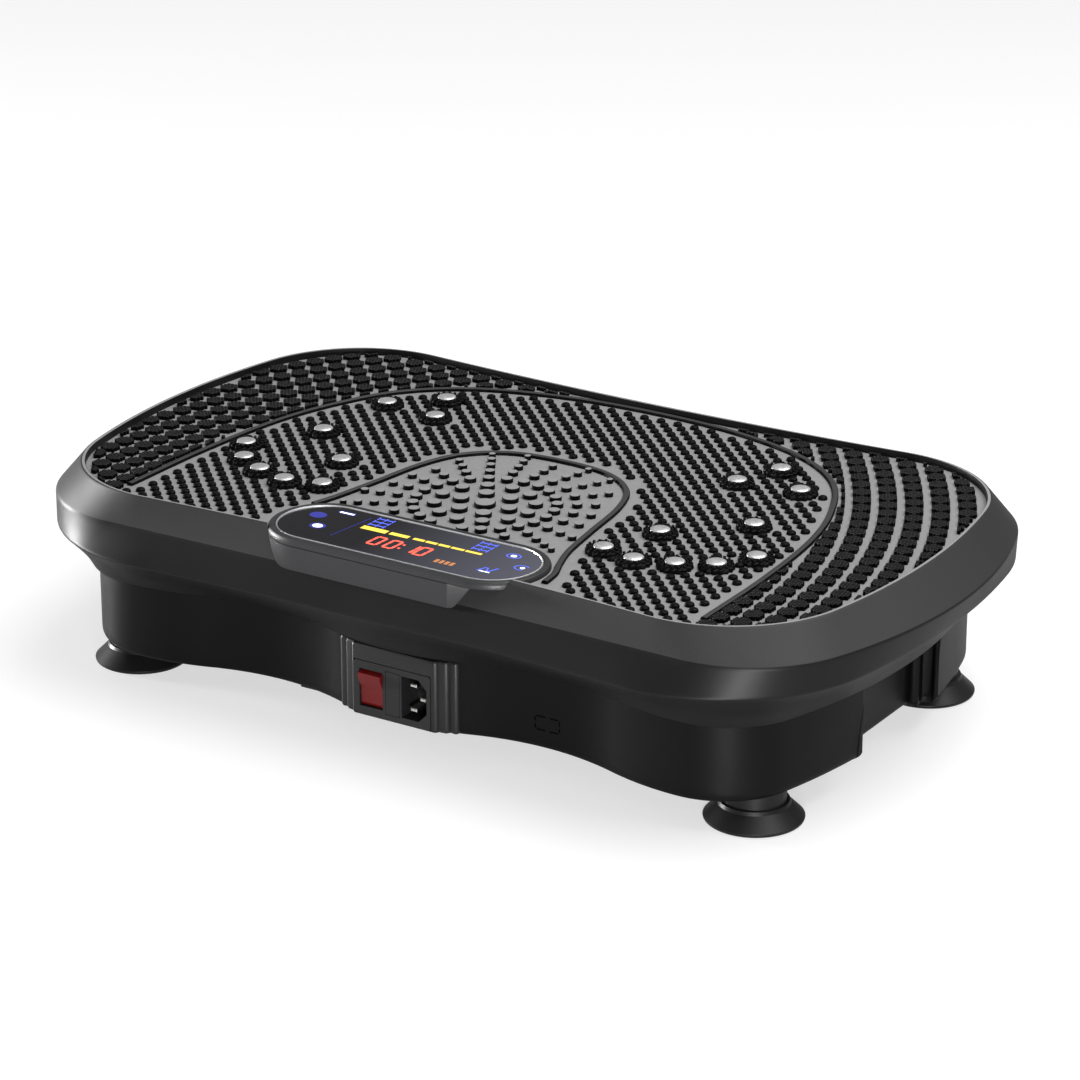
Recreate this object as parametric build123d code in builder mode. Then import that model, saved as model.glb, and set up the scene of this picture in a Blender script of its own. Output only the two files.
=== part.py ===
from build123d import *
import os
from math import acos, asin, atan2, cos, degrees, hypot, pi, sin, sqrt

# Oscillating vibration plate: a see-saw platform on a base with four suction feet.
# Millimetres, +Z up. The origin is on the floor under the centre of the platform.
# X runs along the platform, and -Y is the side with the console and the mains inlet.

os.makedirs("parts", exist_ok=True)

# ---- platform outline: half length, half waist, waist / shoulder / end radii, height ----
RIM = (246.0, 137.1, 2288.0, 73.6, 409.7)
CREASE = (266.2, 146.0, 8600.0, 70.2, 288.8)
EDGE = (259.4, 155.5, 2434.0, 92.9, 478.5)
RIM_Z = 119.5
CREASE_Z = 101.9
EDGE_Z = 86.0
LIP_Z = 63.0
RIM_WIDTH = 2.4
SKIN = 3.0

# ---- base outline: crest and valley of the wave along the front and the back ----
BASE_FRONT = 134.5
WAVE_DEPTH = 14.0
WAVE_STEP = 87.5
CORNER_R = 46.0
BASE_LENGTH_LOW = 232.8
BASE_LENGTH_LIP = 236.0
BASE_LENGTH_TOP = 236.7
BASE_LOW_Z = 19.6
BASE_TOP_Z = 73.0
BASE_WALL = 3.5
LIP_GAP = 2.0
LIP_EDGE = 1.6

# ---- recess in each end of the base, stepped outwards past two half-round columns ----
RECESS_X = 219.0
RECESS_HALF = 34.0
RECESS_STEP = 9.0
RECESS_COLUMNS = ((2.5, 1.6, 3.1), (11.6, 9.6, 1.9))

# ---- heights inside ----
PAN_Z = 19.9
PAN_TOP = 22.1
MAT_LOW = 112.3
MAT_TOP = 115.3
DECK_WALL_LOW = 109.3
DECK_PLATE = 4.0

# ---- see-saw pivot and crank drive ----
PIVOT_Z = 58.0
PIVOT_Y = 66.0
PIVOT_R = 6.0
RUNNING = 0.05
CRANK_Z = 50.0
SHAFT_R = 7.0
THROW = 1.5
ROD_X = 100.0
JOURNAL_R = 12.0
JOURNAL_GAP = 4.0
WRIST_Z = 86.0
WRIST_R = 4.0
BLOCK_X = 70.0
BEARING_R = 14.0
BIG_PULLEY_R = 20.0
SMALL_PULLEY_R = 10.0
BELT_THICK = 2.0
BELT_WIDE = 12.0
BELT_GAP = 0.3
MOTOR_Y = 62.0
MOTOR_Z = 57.0
MOTOR_R = 29.0
MOTOR_X = (-160.0, -58.0)
BELT_X = -40.0

# ---- console: shell, thin ring set into it, and the glass inside the ring ----
CONSOLE_AT = Location((-1.3, -118.4, 0))
CONSOLE_HALF = (84.2, 30.4)
CONSOLE_Z = 118.3
CONSOLE_LOW = 101.2
CONSOLE_WALL = 4.2
CONSOLE_RING = 0.9
CONSOLE_GLASS = 5.4
CONSOLE_LEDGE = 6.4
GLASS_LOW = 115.1
GLASS_TOP = 117.5

# ---- mains inlet ----
BLOCK_FACE = -135.8
BLOCK_HALF = 27.5
BLOCK_TOP = 61.3
BLOCK_COLUMNS = ((30.4, -130.6, 2.5), (35.4, -128.9, 2.3))
KNOCK_OUT = (87.1, 34.4)
MODULE_X = -0.8
MODULE_Z = 36.9
MODULE_SIZE = (48.8, 30.6)
MODULE_BODY = (46.4, 27.4)
MODULE_DEPTH = 30.0
FLANGE = 2.0
ROCKER_X = -14.2
ROCKER_SIZE = (14.2, 19.8)
ROCKER_WINDOW = (15.0, 21.6)
ROCKER_TILT = 12.0
ROCKER_PIN_R = 1.2
DRAWER_X = -0.4
DRAWER_SIZE = (8.6, 24.6)
SOCKET_X = (5.4, 21.4)
SOCKET_HALF = 12.0
SOCKET_CHAMFER = 5.2
SOCKET_DEPTH = 16.0

# ---- acupressure discs: centres on the right half, mirrored to the left ----
DISCS = (
    (136.4, 59.6), (111.0, 83.7), (99.6, 54.6), (140.4, 1.4), (103.1, -34.0),
    (90.3, -70.7), (112.0, -76.1), (133.2, -69.8), (151.9, -59.0), (164.8, -39.4),
)
DISC_R = 9.0
DISC_TOP = 119.7
CAP_R = 5.2
CAP_TOP = 121.3

# ---- feet ----
FOOT_X = 198.6
FOOT_Y = 97.4
FOOT_R = 26.6
FEET = GridLocations(2 * FOOT_X, 2 * FOOT_Y, 2, 2)

# ---- fixings and electrics ----
PAN_SCREWS = [(x, y) for x in (-126, 126) for y in (-117.5, 117.5)]
PAN_SCREWS += [(x, y) for x in (-196, 196) for y in (-60, 60)]
PLATE_SCREWS = [(x, y) for x in (-190, -60, 60, 190) for y in (-66, 82)]
ROCKER_PIVOT_Y = BLOCK_FACE + 2.7
MOTOR_SHAFT_R = 4.0
ROD_RING_R = JOURNAL_R + JOURNAL_GAP + 3
BUSH_R = 8.5
SUPPLY = (142, -78)
BOARD = (150, 62)
BOARD_Z = PAN_TOP + 10
BOARD_THICK = 1.6
# relay, terminal block, controller, heat sink: place on the board, width, depth, height
BOARD_BLOCKS = (
    (-20, 16, 16, 18, 14),
    (18, 20, 24, 9, 11),
    (-6, -8, 14, 14, 2),
    (20, -14, 20, 18, 22),
)

# ---- raised arches of the mat: the outer one is symmetric, the inner one passes the console ----
ARCH_WIDE = 3.6
ARCH_TALL = 2.0
ARCH_HALF = (
    (0, 131), (58, 126.5), (108.5, 111), (143, 84), (163.5, 45), (175.5, 0), (181, -60), (182, -124),
)
ARCH_OUTER = [(-x, y) for x, y in ARCH_HALF[:0:-1]] + list(ARCH_HALF)
ARCH_INNER = (
    (-79, -95), (-75, -80), (-70, -50), (-64, -12), (-53, 14), (-31, 30), (0, 34), (31, 30),
    (53, 14), (64, -12), (70, -50), (75, -80), (80.5, -98), (86, -112), (88, -125),
)


def arc(centre, radius, start, end):
    """Arc about a centre from one angle to another, in radians."""
    return CenterArc(centre, radius, degrees(start), degrees(end - start))


def meeting_point(c0, r0, c1, r1):
    """Point at r0 from c0 and at r1 from c1, on the side of the larger X."""
    dx, dy = c1[0] - c0[0], c1[1] - c0[1]
    gap = hypot(dx, dy)
    along = (r0 * r0 - r1 * r1 + gap * gap) / (2 * gap)
    side = sqrt(r0 * r0 - along * along)
    ux, uy = dx / gap, dy / gap
    ends = [(c0[0] + along * ux - s * uy, c0[1] + along * uy + s * ux) for s in (side, -side)]
    return max(ends)


def waisted_outline(outline, grow=0.0):
    """Platform outline: a shallow waist, round shoulders and gently curved ends."""
    length, waist, waist_r, shoulder_r, end_r = outline
    waist_c = (0, -waist - waist_r)
    end_c = (length - end_r, 0)
    shoulder_c = meeting_point(waist_c, waist_r + shoulder_r, end_c, end_r - shoulder_r)
    waist_end = atan2(shoulder_c[1] - waist_c[1], shoulder_c[0] - waist_c[0])
    end_start = atan2(shoulder_c[1] - end_c[1], shoulder_c[0] - end_c[0])
    inner = waist_r - grow
    breaks = [pi / 2, acos(WAVE_STEP / 2 / inner), acos(1.5 * WAVE_STEP / inner), waist_end]
    with BuildLine() as line:
        for start, end in zip(breaks, breaks[1:]):
            arc(waist_c, inner, start, end)
        arc(shoulder_c, shoulder_r + grow, waist_end - pi, end_start)
        arc(end_c, end_r + grow, end_start, 0)
        mirror(about=Plane.XZ)
        mirror(about=Plane.YZ)
    return line.edges()


def waved_outline(length, grow=0.0):
    """Base outline: a wave along the front and the back, and round corners."""
    wave_r = (WAVE_STEP**2 + WAVE_DEPTH**2) / (4 * WAVE_DEPTH)
    swing = asin(WAVE_STEP / 2 / wave_r)
    span = length - 2 * WAVE_STEP
    side = BASE_FRONT - CORNER_R
    end_r = (span**2 + side**2 - CORNER_R**2) / (2 * (span - CORNER_R))
    crest_y = -BASE_FRONT + wave_r
    corner_c = (2 * WAVE_STEP, -BASE_FRONT + CORNER_R)
    end_c = (length - end_r, 0)
    end_start = atan2(corner_c[1] - end_c[1], corner_c[0] - end_c[0])
    with BuildLine() as line:
        arc((0, crest_y), wave_r + grow, -pi / 2, -pi / 2 + swing)
        valley_c = (WAVE_STEP, -BASE_FRONT + WAVE_DEPTH - wave_r)
        arc(valley_c, wave_r - grow, pi / 2 + swing, pi / 2 - swing)
        arc((2 * WAVE_STEP, crest_y), wave_r + grow, -pi / 2 - swing, -pi / 2)
        arc(corner_c, CORNER_R + grow, -pi / 2, end_start)
        arc(end_c, end_r + grow, end_start, 0)
        mirror(about=Plane.XZ)
        mirror(about=Plane.YZ)
    return line.edges()


def console_slot(inset, mode=Mode.ADD):
    """Stadium outline of the console, moved in from the outside of its shell."""
    with Locations(CONSOLE_AT):
        SlotOverall(2 * (CONSOLE_HALF[0] - inset), 2 * (CONSOLE_HALF[1] - inset), mode=mode)


def finish(part, name):
    """Label a finished piece and write it out."""
    part.label = name
    export_step(part, f"parts/{name}.step")
    print(f"{name:22s} solids {len(part.solids()):3d}  volume {part.volume:12.1f}")


# =============================== base body ===============================

with BuildPart() as base_housing:
    with BuildSketch(Plane.XY.offset(BASE_LOW_Z)):
        make_face(waved_outline(BASE_LENGTH_LOW))
    with BuildSketch(Plane.XY.offset(BASE_TOP_Z)):
        make_face(waved_outline(BASE_LENGTH_TOP))
    loft(ruled=True)
    low_edges = base_housing.faces().sort_by(Axis.Z)[0].edges()
    chamfer(low_edges, 1.8)
    with BuildSketch(Plane.XY.offset(BASE_LOW_Z)):
        make_face(waved_outline(BASE_LENGTH_LOW, -BASE_WALL))
    with BuildSketch(Plane.XY.offset(BASE_TOP_Z)):
        make_face(waved_outline(BASE_LENGTH_TOP, -BASE_WALL))
    loft(ruled=True, mode=Mode.SUBTRACT)
    # the recess box in each end, with its two stepped half-round columns on each side
    for side in (-1, 1):
        with BuildSketch(Plane.XY.offset(BASE_LOW_Z)):
            with Locations((side * (RECESS_X + 3), 0)):
                Rectangle(13, 2 * (RECESS_HALF + RECESS_STEP) + 8)
        extrude(amount=BASE_TOP_Z - BASE_LOW_Z)
        with BuildSketch(Plane.XY.offset(BASE_LOW_Z)):
            with Locations((side * (RECESS_X + 15), 0)):
                Rectangle(30, 2 * RECESS_HALF)
            with Locations((side * (RECESS_X + 20), 0)):
                Rectangle(30, 2 * (RECESS_HALF + RECESS_STEP))
            for x, y, r in RECESS_COLUMNS:
                with Locations(*[(side * (RECESS_X + x), end * (RECESS_HALF + y)) for end in (-1, 1)]):
                    Circle(r, mode=Mode.SUBTRACT)
        extrude(amount=BASE_TOP_Z - BASE_LOW_Z, mode=Mode.SUBTRACT)
    # the flat-faced inlet block in the middle of the front, with its stepped columns
    with BuildSketch(Plane.XY.offset(BASE_LOW_Z + 0.6)):
        with Locations((0, BLOCK_FACE + 8)):
            RectangleRounded(2 * BLOCK_HALF, 16, 2.4)
        for x, y, r in BLOCK_COLUMNS:
            with Locations((-x, y), (x, y)):
                Circle(r)
    extrude(amount=BLOCK_TOP - BASE_LOW_Z - 0.6)
    # pocket for the flange of the inlet module, and the cut-out for its body
    flange_plane = Plane.XZ.offset(-BLOCK_FACE)
    with BuildSketch(flange_plane):
        with Locations((MODULE_X, MODULE_Z)):
            RectangleRounded(MODULE_SIZE[0] + 0.8, MODULE_SIZE[1] + 0.8, 1.6)
    extrude(amount=-FLANGE, mode=Mode.SUBTRACT)
    with BuildSketch(flange_plane):
        with Locations((MODULE_X, MODULE_Z)):
            Rectangle(MODULE_BODY[0] + 0.6, MODULE_BODY[1] + 0.6)
    extrude(amount=-30, mode=Mode.SUBTRACT)
    # dashed outline of the knock-out for an accessory lead, right of the inlet
    with BuildSketch(Plane.XZ.offset(BASE_FRONT)):
        with Locations(KNOCK_OUT):
            with GridLocations(8, 7.6, 2, 2):
                Rectangle(5.4, 0.9)
            with GridLocations(15, 4, 2, 2):
                Rectangle(0.9, 2.7)
    extrude(amount=-15.2, mode=Mode.SUBTRACT)
finish(base_housing.part, "base_housing")

with BuildPart() as bottom_pan:
    with BuildSketch(Plane.XY.offset(PAN_Z)):
        make_face(waved_outline(BASE_LENGTH_LOW, -BASE_WALL - 0.4))
        with Locations((-RECESS_X - 6, 0), (RECESS_X + 6, 0)):
            Rectangle(20, 2 * (RECESS_HALF + RECESS_STEP) + 10, mode=Mode.SUBTRACT)
        with Locations((0, BLOCK_FACE)):
            Rectangle(2 * BLOCK_HALF + 2, 33, mode=Mode.SUBTRACT)
        with FEET:
            Circle(3.3, mode=Mode.SUBTRACT)
        with Locations(*PAN_SCREWS):
            Circle(1.9, mode=Mode.SUBTRACT)
    extrude(amount=PAN_TOP - PAN_Z)
    # small finger tab under the front edge, left of the inlet
    with BuildSketch(Plane.XY.offset(PAN_Z)):
        with Locations((-65, -113)):
            RectangleRounded(22, 5, 1.5)
    extrude(amount=-3)
finish(bottom_pan.part, "bottom_pan")

with BuildPart() as pan_screws:
    with BuildSketch(Plane.XY.offset(PAN_Z)):
        with Locations(*PAN_SCREWS):
            Circle(3.1)
    extrude(amount=-1.6)
    with BuildSketch(Plane.XY.offset(PAN_Z)):
        with Locations(*PAN_SCREWS):
            Circle(1.6)
    extrude(amount=13)
finish(pan_screws.part, "pan_screws")

with BuildPart() as foot:
    with BuildSketch(Plane.XZ):
        with BuildLine():
            Polyline((0, 3.4), (20.5, 0), (24.8, 0))
            ThreePointArc((24.8, 0), (FOOT_R - 0.5, 0.6), (FOOT_R, 2.2))
            Polyline((FOOT_R, 2.2), (19.4, 9.4), (18.6, 11.2), (17, 11.6), (17, PAN_Z - 0.3))
            Line((17, PAN_Z - 0.3), (3.1, PAN_Z - 0.3))
            Polyline((3.1, PAN_Z - 0.3), (3.1, 9.9), (0, 9.9), (0, 3.4))
        make_face()
    revolve(axis=Axis.Z)

with BuildPart() as suction_feet:
    with FEET:
        add(foot.part)
finish(suction_feet.part, "suction_feet")

with BuildPart() as foot_bolts:
    with BuildSketch(Plane.XY.offset(10)):
        with FEET:
            Circle(3)
    extrude(amount=18)
    with BuildSketch(Plane.XY.offset(PAN_TOP)):
        with FEET:
            RegularPolygon(5.5, 6)
    extrude(amount=4.5)
finish(foot_bolts.part, "foot_bolts")

# ---- mains inlet module: flange, body, socket, rocker window and fuse slot ----
FACE = BLOCK_FACE - 0.3
face_plane = Plane.XZ.offset(-FACE)

with BuildPart() as inlet_module:
    with BuildSketch(face_plane):
        with Locations((MODULE_X, MODULE_Z)):
            RectangleRounded(*MODULE_SIZE, 1.4)
    extrude(amount=-FLANGE)
    with BuildSketch(face_plane):
        with Locations((MODULE_X, MODULE_Z)):
            Rectangle(*MODULE_BODY)
    extrude(amount=-MODULE_DEPTH)
    with BuildSketch(face_plane):
        with BuildLine():
            near, far = SOCKET_X
            low, high = MODULE_Z - SOCKET_HALF, MODULE_Z + SOCKET_HALF
            Polyline(
                (near, low), (far - SOCKET_CHAMFER, low), (far, low + SOCKET_CHAMFER),
                (far, high - SOCKET_CHAMFER), (far - SOCKET_CHAMFER, high), (near, high), close=True,
            )
        make_face()
    extrude(amount=-SOCKET_DEPTH, mode=Mode.SUBTRACT)
    with BuildSketch(face_plane):
        with Locations((ROCKER_X, MODULE_Z)):
            Rectangle(*ROCKER_WINDOW)
    extrude(amount=-14, mode=Mode.SUBTRACT)
    with BuildSketch(face_plane):
        with Locations((DRAWER_X, MODULE_Z)):
            Rectangle(DRAWER_SIZE[0] + 0.5, DRAWER_SIZE[1] + 0.5)
    extrude(amount=-22, mode=Mode.SUBTRACT)
    with BuildSketch(Plane.YZ.offset(ROCKER_X - 9)):
        with Locations((ROCKER_PIVOT_Y, MODULE_Z)):
            Circle(ROCKER_PIN_R)
    extrude(amount=18, mode=Mode.SUBTRACT)
finish(inlet_module.part, "inlet_module")

with BuildPart() as inlet_pins:
    with BuildSketch(Plane.XZ.offset(-FACE - SOCKET_DEPTH)):
        with Locations((11.6, MODULE_Z - 7), (11.6, MODULE_Z + 7), (17.8, MODULE_Z)):
            Rectangle(4, 2)
    extrude(amount=14)
    chamfer(inlet_pins.edges().group_by(Axis.Y)[0], 0.5)
finish(inlet_pins.part, "inlet_pins")

with BuildPart() as rocker_pin:
    with BuildSketch(Plane.YZ.offset(ROCKER_X - 8.6)):
        with Locations((ROCKER_PIVOT_Y, MODULE_Z)):
            Circle(ROCKER_PIN_R)
    extrude(amount=17.2)
finish(rocker_pin.part, "rocker_pin")

rocker_plane = Plane(
    origin=(ROCKER_X - ROCKER_SIZE[0] / 2, ROCKER_PIVOT_Y, MODULE_Z),
    x_dir=(0, cos(ROCKER_TILT * pi / 180), sin(ROCKER_TILT * pi / 180)),
    z_dir=(1, 0, 0),
)

with BuildPart() as rocker_switch:
    with BuildSketch(rocker_plane):
        with BuildLine():
            half = ROCKER_SIZE[1] / 2
            Polyline((-3.2, half), (-3.6, half - 1.6), (-2.0, 0), (-3.6, 1.6 - half), (-3.2, -half))
            Polyline((-3.2, -half), (1.5, -half), (6.5, -5), (6.5, 5), (1.5, half), (-3.2, half))
        make_face()
        Circle(ROCKER_PIN_R + RUNNING, mode=Mode.SUBTRACT)
    extrude(amount=ROCKER_SIZE[0])
finish(rocker_switch.part, "rocker_switch")

with BuildPart() as fuse_drawer:
    with BuildSketch(face_plane):
        with Locations((DRAWER_X, MODULE_Z)):
            RectangleRounded(*DRAWER_SIZE, 0.8)
    extrude(amount=-2)
    with BuildSketch(Plane.XZ.offset(-FACE - 2)):
        with Locations((DRAWER_X, MODULE_Z)):
            Rectangle(DRAWER_SIZE[0] - 0.8, DRAWER_SIZE[1] - 1.2)
    extrude(amount=-18)
    with BuildSketch(Plane.XZ.offset(-FACE - 6)):
        with Locations((DRAWER_X + 1.5, MODULE_Z)):
            Rectangle(DRAWER_SIZE[0] - 1, 20.4)
    extrude(amount=-10, mode=Mode.SUBTRACT)
finish(fuse_drawer.part, "fuse_drawer")

with BuildPart() as glass_fuse:
    with BuildSketch(Plane.XY.offset(MODULE_Z - 10)):
        with Locations((DRAWER_X + 0.4, FACE + 11)):
            Circle(2.6)
    extrude(amount=20)
finish(glass_fuse.part, "glass_fuse")

# =============================== drive ===============================

with BuildPart() as pivot_pedestals:
    for side in (-1, 1):
        with BuildSketch(Plane.XY.offset(PAN_TOP)):
            with Locations((0, side * PIVOT_Y)):
                RectangleRounded(52, 16, 2)
        extrude(amount=4)
        with BuildSketch(Plane.XZ.offset(-side * PIVOT_Y - 6)):
            with Locations((0, (PAN_TOP + PIVOT_Z) / 2)):
                Rectangle(26, PIVOT_Z - PAN_TOP)
            with Locations((0, PIVOT_Z)):
                Circle(13)
                Circle(PIVOT_R, mode=Mode.SUBTRACT)
        extrude(amount=12)
finish(pivot_pedestals.part, "pivot_pedestals")

with BuildPart() as pivot_pins:
    for side in (-1, 1):
        with BuildSketch(Plane.XZ.offset(-side * PIVOT_Y - 12)):
            with Locations((0, PIVOT_Z)):
                Circle(PIVOT_R)
        extrude(amount=24)
finish(pivot_pins.part, "pivot_pins")

with BuildPart() as bearing_blocks:
    for x in (-BLOCK_X, BLOCK_X):
        with BuildSketch(Plane.YZ.offset(x - 8)):
            with Locations((0, (PAN_TOP + CRANK_Z) / 2)):
                Rectangle(36, CRANK_Z - PAN_TOP)
            with Locations((0, PAN_TOP + 3)):
                Rectangle(54, 6)
            with Locations((0, CRANK_Z)):
                Circle(18)
                Circle(BEARING_R, mode=Mode.SUBTRACT)
        extrude(amount=16)
finish(bearing_blocks.part, "bearing_blocks")

with BuildPart() as crank_bearings:
    for x in (-BLOCK_X, BLOCK_X):
        with BuildSketch(Plane.YZ.offset(x - 6)):
            with Locations((0, CRANK_Z)):
                Circle(BEARING_R)
                Circle(SHAFT_R + RUNNING, mode=Mode.SUBTRACT)
        extrude(amount=12)
finish(crank_bearings.part, "crank_bearings")

with BuildPart() as crankshaft:
    with BuildSketch(Plane.YZ.offset(-ROD_X - 18)):
        with Locations((0, CRANK_Z)):
            Circle(SHAFT_R)
    extrude(amount=2 * ROD_X + 36)
    # one eccentric journal each side, half a turn apart
    for side in (-1, 1):
        with BuildSketch(Plane.YZ.offset(side * ROD_X - 7)):
            with Locations((0, CRANK_Z - side * THROW)):
                Circle(JOURNAL_R)
        extrude(amount=14)
finish(crankshaft.part, "crankshaft")


def pulley_sections(radius):
    """Start, length and radius of a flanged pulley's three sections, along the shaft."""
    return ((-8, 1.5, radius + 3), (-6.5, 13, radius), (6.5, 1.5, radius + 3))


with BuildPart() as crank_pulley:
    for start, length, r in pulley_sections(BIG_PULLEY_R):
        with BuildSketch(Plane.YZ.offset(BELT_X + start)):
            with Locations((0, CRANK_Z)):
                Circle(r)
                Circle(SHAFT_R, mode=Mode.SUBTRACT)
        extrude(amount=length)
    # six lightening holes
    with BuildSketch(Plane.YZ.offset(BELT_X - 8)):
        with Locations((0, CRANK_Z)):
            with PolarLocations(13.5, 6):
                Circle(3)
    extrude(amount=16, mode=Mode.SUBTRACT)
finish(crank_pulley.part, "crank_pulley")

with BuildPart() as motor_pulley:
    for start, length, r in pulley_sections(SMALL_PULLEY_R):
        with BuildSketch(Plane.YZ.offset(BELT_X + start)):
            with Locations((MOTOR_Y, MOTOR_Z)):
                Circle(r)
                Circle(MOTOR_SHAFT_R, mode=Mode.SUBTRACT)
        extrude(amount=length)
finish(motor_pulley.part, "motor_pulley")

with BuildPart() as motor_shaft:
    with BuildSketch(Plane.YZ.offset(MOTOR_X[1] - 18)):
        with Locations((MOTOR_Y, MOTOR_Z)):
            Circle(MOTOR_SHAFT_R)
    extrude(amount=BELT_X + 10 - MOTOR_X[1] + 18)
finish(motor_shaft.part, "motor_shaft")

with BuildPart() as drive_belt:
    for grow, mode in ((BELT_GAP + BELT_THICK, Mode.ADD), (BELT_GAP, Mode.SUBTRACT)):
        with BuildSketch(Plane.YZ.offset(BELT_X - BELT_WIDE / 2)):
            with Locations((0, CRANK_Z)):
                Circle(BIG_PULLEY_R + grow)
            with Locations((MOTOR_Y, MOTOR_Z)):
                Circle(SMALL_PULLEY_R + grow)
            make_hull()
        extrude(amount=BELT_WIDE, mode=mode)
finish(drive_belt.part, "drive_belt")

with BuildPart() as motor_body:
    with BuildSketch(Plane.YZ.offset(MOTOR_X[0])):
        with Locations((MOTOR_Y, MOTOR_Z)):
            Circle(MOTOR_R)
    extrude(amount=MOTOR_X[1] - MOTOR_X[0])
    chamfer(motor_body.edges().filter_by(GeomType.CIRCLE), 3)
    with BuildSketch(Plane.YZ.offset(MOTOR_X[1])):
        with Locations((MOTOR_Y, MOTOR_Z)):
            Circle(11)
    extrude(amount=4)
    with BuildSketch(Plane.YZ.offset(MOTOR_X[1] - 20)):
        with Locations((MOTOR_Y, MOTOR_Z)):
            Circle(MOTOR_SHAFT_R + RUNNING)
    extrude(amount=24, mode=Mode.SUBTRACT)
finish(motor_body.part, "motor_body")

with BuildPart() as motor_bracket:
    with BuildSketch(Plane.YZ.offset(MOTOR_X[1])):
        with Locations((MOTOR_Y, (PAN_TOP + MOTOR_Z + 24) / 2)):
            RectangleRounded(56, MOTOR_Z + 24 - PAN_TOP, 3)
        with Locations((MOTOR_Y, MOTOR_Z)):
            Circle(11.4, mode=Mode.SUBTRACT)
    extrude(amount=4)
    with BuildSketch(Plane.XY.offset(PAN_TOP)):
        with Locations((MOTOR_X[1] - 18, MOTOR_Y)):
            Rectangle(44, 50)
    extrude(amount=3)
finish(motor_bracket.part, "motor_bracket")

for side, name in ((-1, "left"), (1, "right")):
    with BuildPart() as con_rod:
        with BuildSketch(Plane.YZ.offset(side * ROD_X - 6)):
            with Locations((0, CRANK_Z)):
                Circle(ROD_RING_R + 4)
            with Locations((0, WRIST_Z)):
                Circle(9)
            with Locations((0, (CRANK_Z + WRIST_Z) / 2)):
                Rectangle(13, WRIST_Z - CRANK_Z)
            with Locations((0, CRANK_Z)):
                Circle(ROD_RING_R, mode=Mode.SUBTRACT)
            with Locations((0, WRIST_Z)):
                Circle(WRIST_R + RUNNING, mode=Mode.SUBTRACT)
        extrude(amount=12)
    finish(con_rod.part, f"{name}_con_rod")
    with BuildPart() as rod_ring:
        with BuildSketch(Plane.YZ.offset(side * ROD_X - 5)):
            with Locations((0, CRANK_Z)):
                Circle(ROD_RING_R)
                Circle(ROD_RING_R - 3, mode=Mode.SUBTRACT)
        extrude(amount=10)
    finish(rod_ring.part, f"{name}_rod_bearing")

with BuildPart() as power_supply:
    with BuildSketch(Plane.XY.offset(PAN_TOP)):
        with Locations(SUPPLY):
            Rectangle(46, 40)
    extrude(amount=3)
    with BuildSketch(Plane.XY.offset(PAN_TOP + 3)):
        with Locations(SUPPLY):
            Rectangle(38, 22)
    extrude(amount=36)
    with BuildSketch(Plane.XY.offset(PAN_TOP + 9)):
        with Locations(SUPPLY):
            RectangleRounded(26, 36, 5)
    extrude(amount=24)
finish(power_supply.part, "power_supply")

with BuildPart() as board_posts:
    with BuildSketch(Plane.XY.offset(PAN_TOP)):
        with Locations(BOARD):
            with GridLocations(62, 52, 2, 2):
                Circle(3)
    extrude(amount=BOARD_Z - PAN_TOP)
finish(board_posts.part, "board_posts")

with BuildPart() as control_board:
    with BuildSketch(Plane.XY.offset(BOARD_Z)):
        with Locations(BOARD):
            RectangleRounded(72, 62, 2)
    extrude(amount=BOARD_THICK)
    for x, y, wide, deep, tall in BOARD_BLOCKS:
        with BuildSketch(Plane.XY.offset(BOARD_Z + BOARD_THICK)):
            with Locations((BOARD[0] + x, BOARD[1] + y)):
                Rectangle(wide, deep)
        extrude(amount=tall)
    # two smoothing capacitors
    with BuildSketch(Plane.XY.offset(BOARD_Z + BOARD_THICK)):
        with Locations((BOARD[0] - 25, BOARD[1] - 18), (BOARD[0] - 12, BOARD[1] - 22)):
            Circle(5.5)
    extrude(amount=20)
finish(control_board.part, "control_board")

# =============================== deck body ===============================

with BuildPart() as top_cover:
    with BuildSketch(Plane.XY.offset(LIP_Z)):
        make_face(waved_outline(BASE_LENGTH_LIP, LIP_GAP + LIP_EDGE))
    for outline, z in ((EDGE, EDGE_Z), (CREASE, CREASE_Z), (RIM, RIM_Z)):
        with BuildSketch(Plane.XY.offset(z)):
            make_face(waisted_outline(outline))
    loft(ruled=True)
    with BuildSketch(Plane.XY.offset(LIP_Z)):
        make_face(waved_outline(BASE_LENGTH_LIP, LIP_GAP))
    for outline, z in ((EDGE, EDGE_Z), (CREASE, CREASE_Z)):
        with BuildSketch(Plane.XY.offset(z)):
            make_face(waisted_outline(outline, -SKIN - 0.6))
    with BuildSketch(Plane.XY.offset(DECK_WALL_LOW)):
        make_face(waisted_outline(RIM))
    loft(ruled=True, mode=Mode.SUBTRACT)
    with BuildSketch(Plane.XY.offset(MAT_LOW)):
        make_face(waisted_outline(RIM, -RIM_WIDTH))
    extrude(amount=RIM_Z - MAT_LOW + 1, mode=Mode.SUBTRACT)
    # pocket for the console
    with BuildSketch(Plane.XY.offset(CONSOLE_LOW - 0.2)):
        console_slot(-0.25)
    extrude(amount=RIM_Z - CONSOLE_LOW + 3, mode=Mode.SUBTRACT)
finish(top_cover.part, "top_cover")

with BuildPart() as standing_mat:
    with BuildSketch(Plane.XY.offset(MAT_LOW)):
        make_face(waisted_outline(RIM, -RIM_WIDTH - 0.3))
        console_slot(-0.4, Mode.SUBTRACT)
    extrude(amount=MAT_TOP - MAT_LOW)
    # raised arches that divide the massage zones
    for arch in (ARCH_OUTER, ARCH_INNER):
        with BuildSketch(Plane.XY.offset(MAT_TOP)):
            with BuildLine() as rib:
                Spline(arch)
            trace(rib.edges(), line_width=ARCH_WIDE)
        extrude(amount=ARCH_TALL)
finish(standing_mat.part, "standing_mat")

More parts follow.
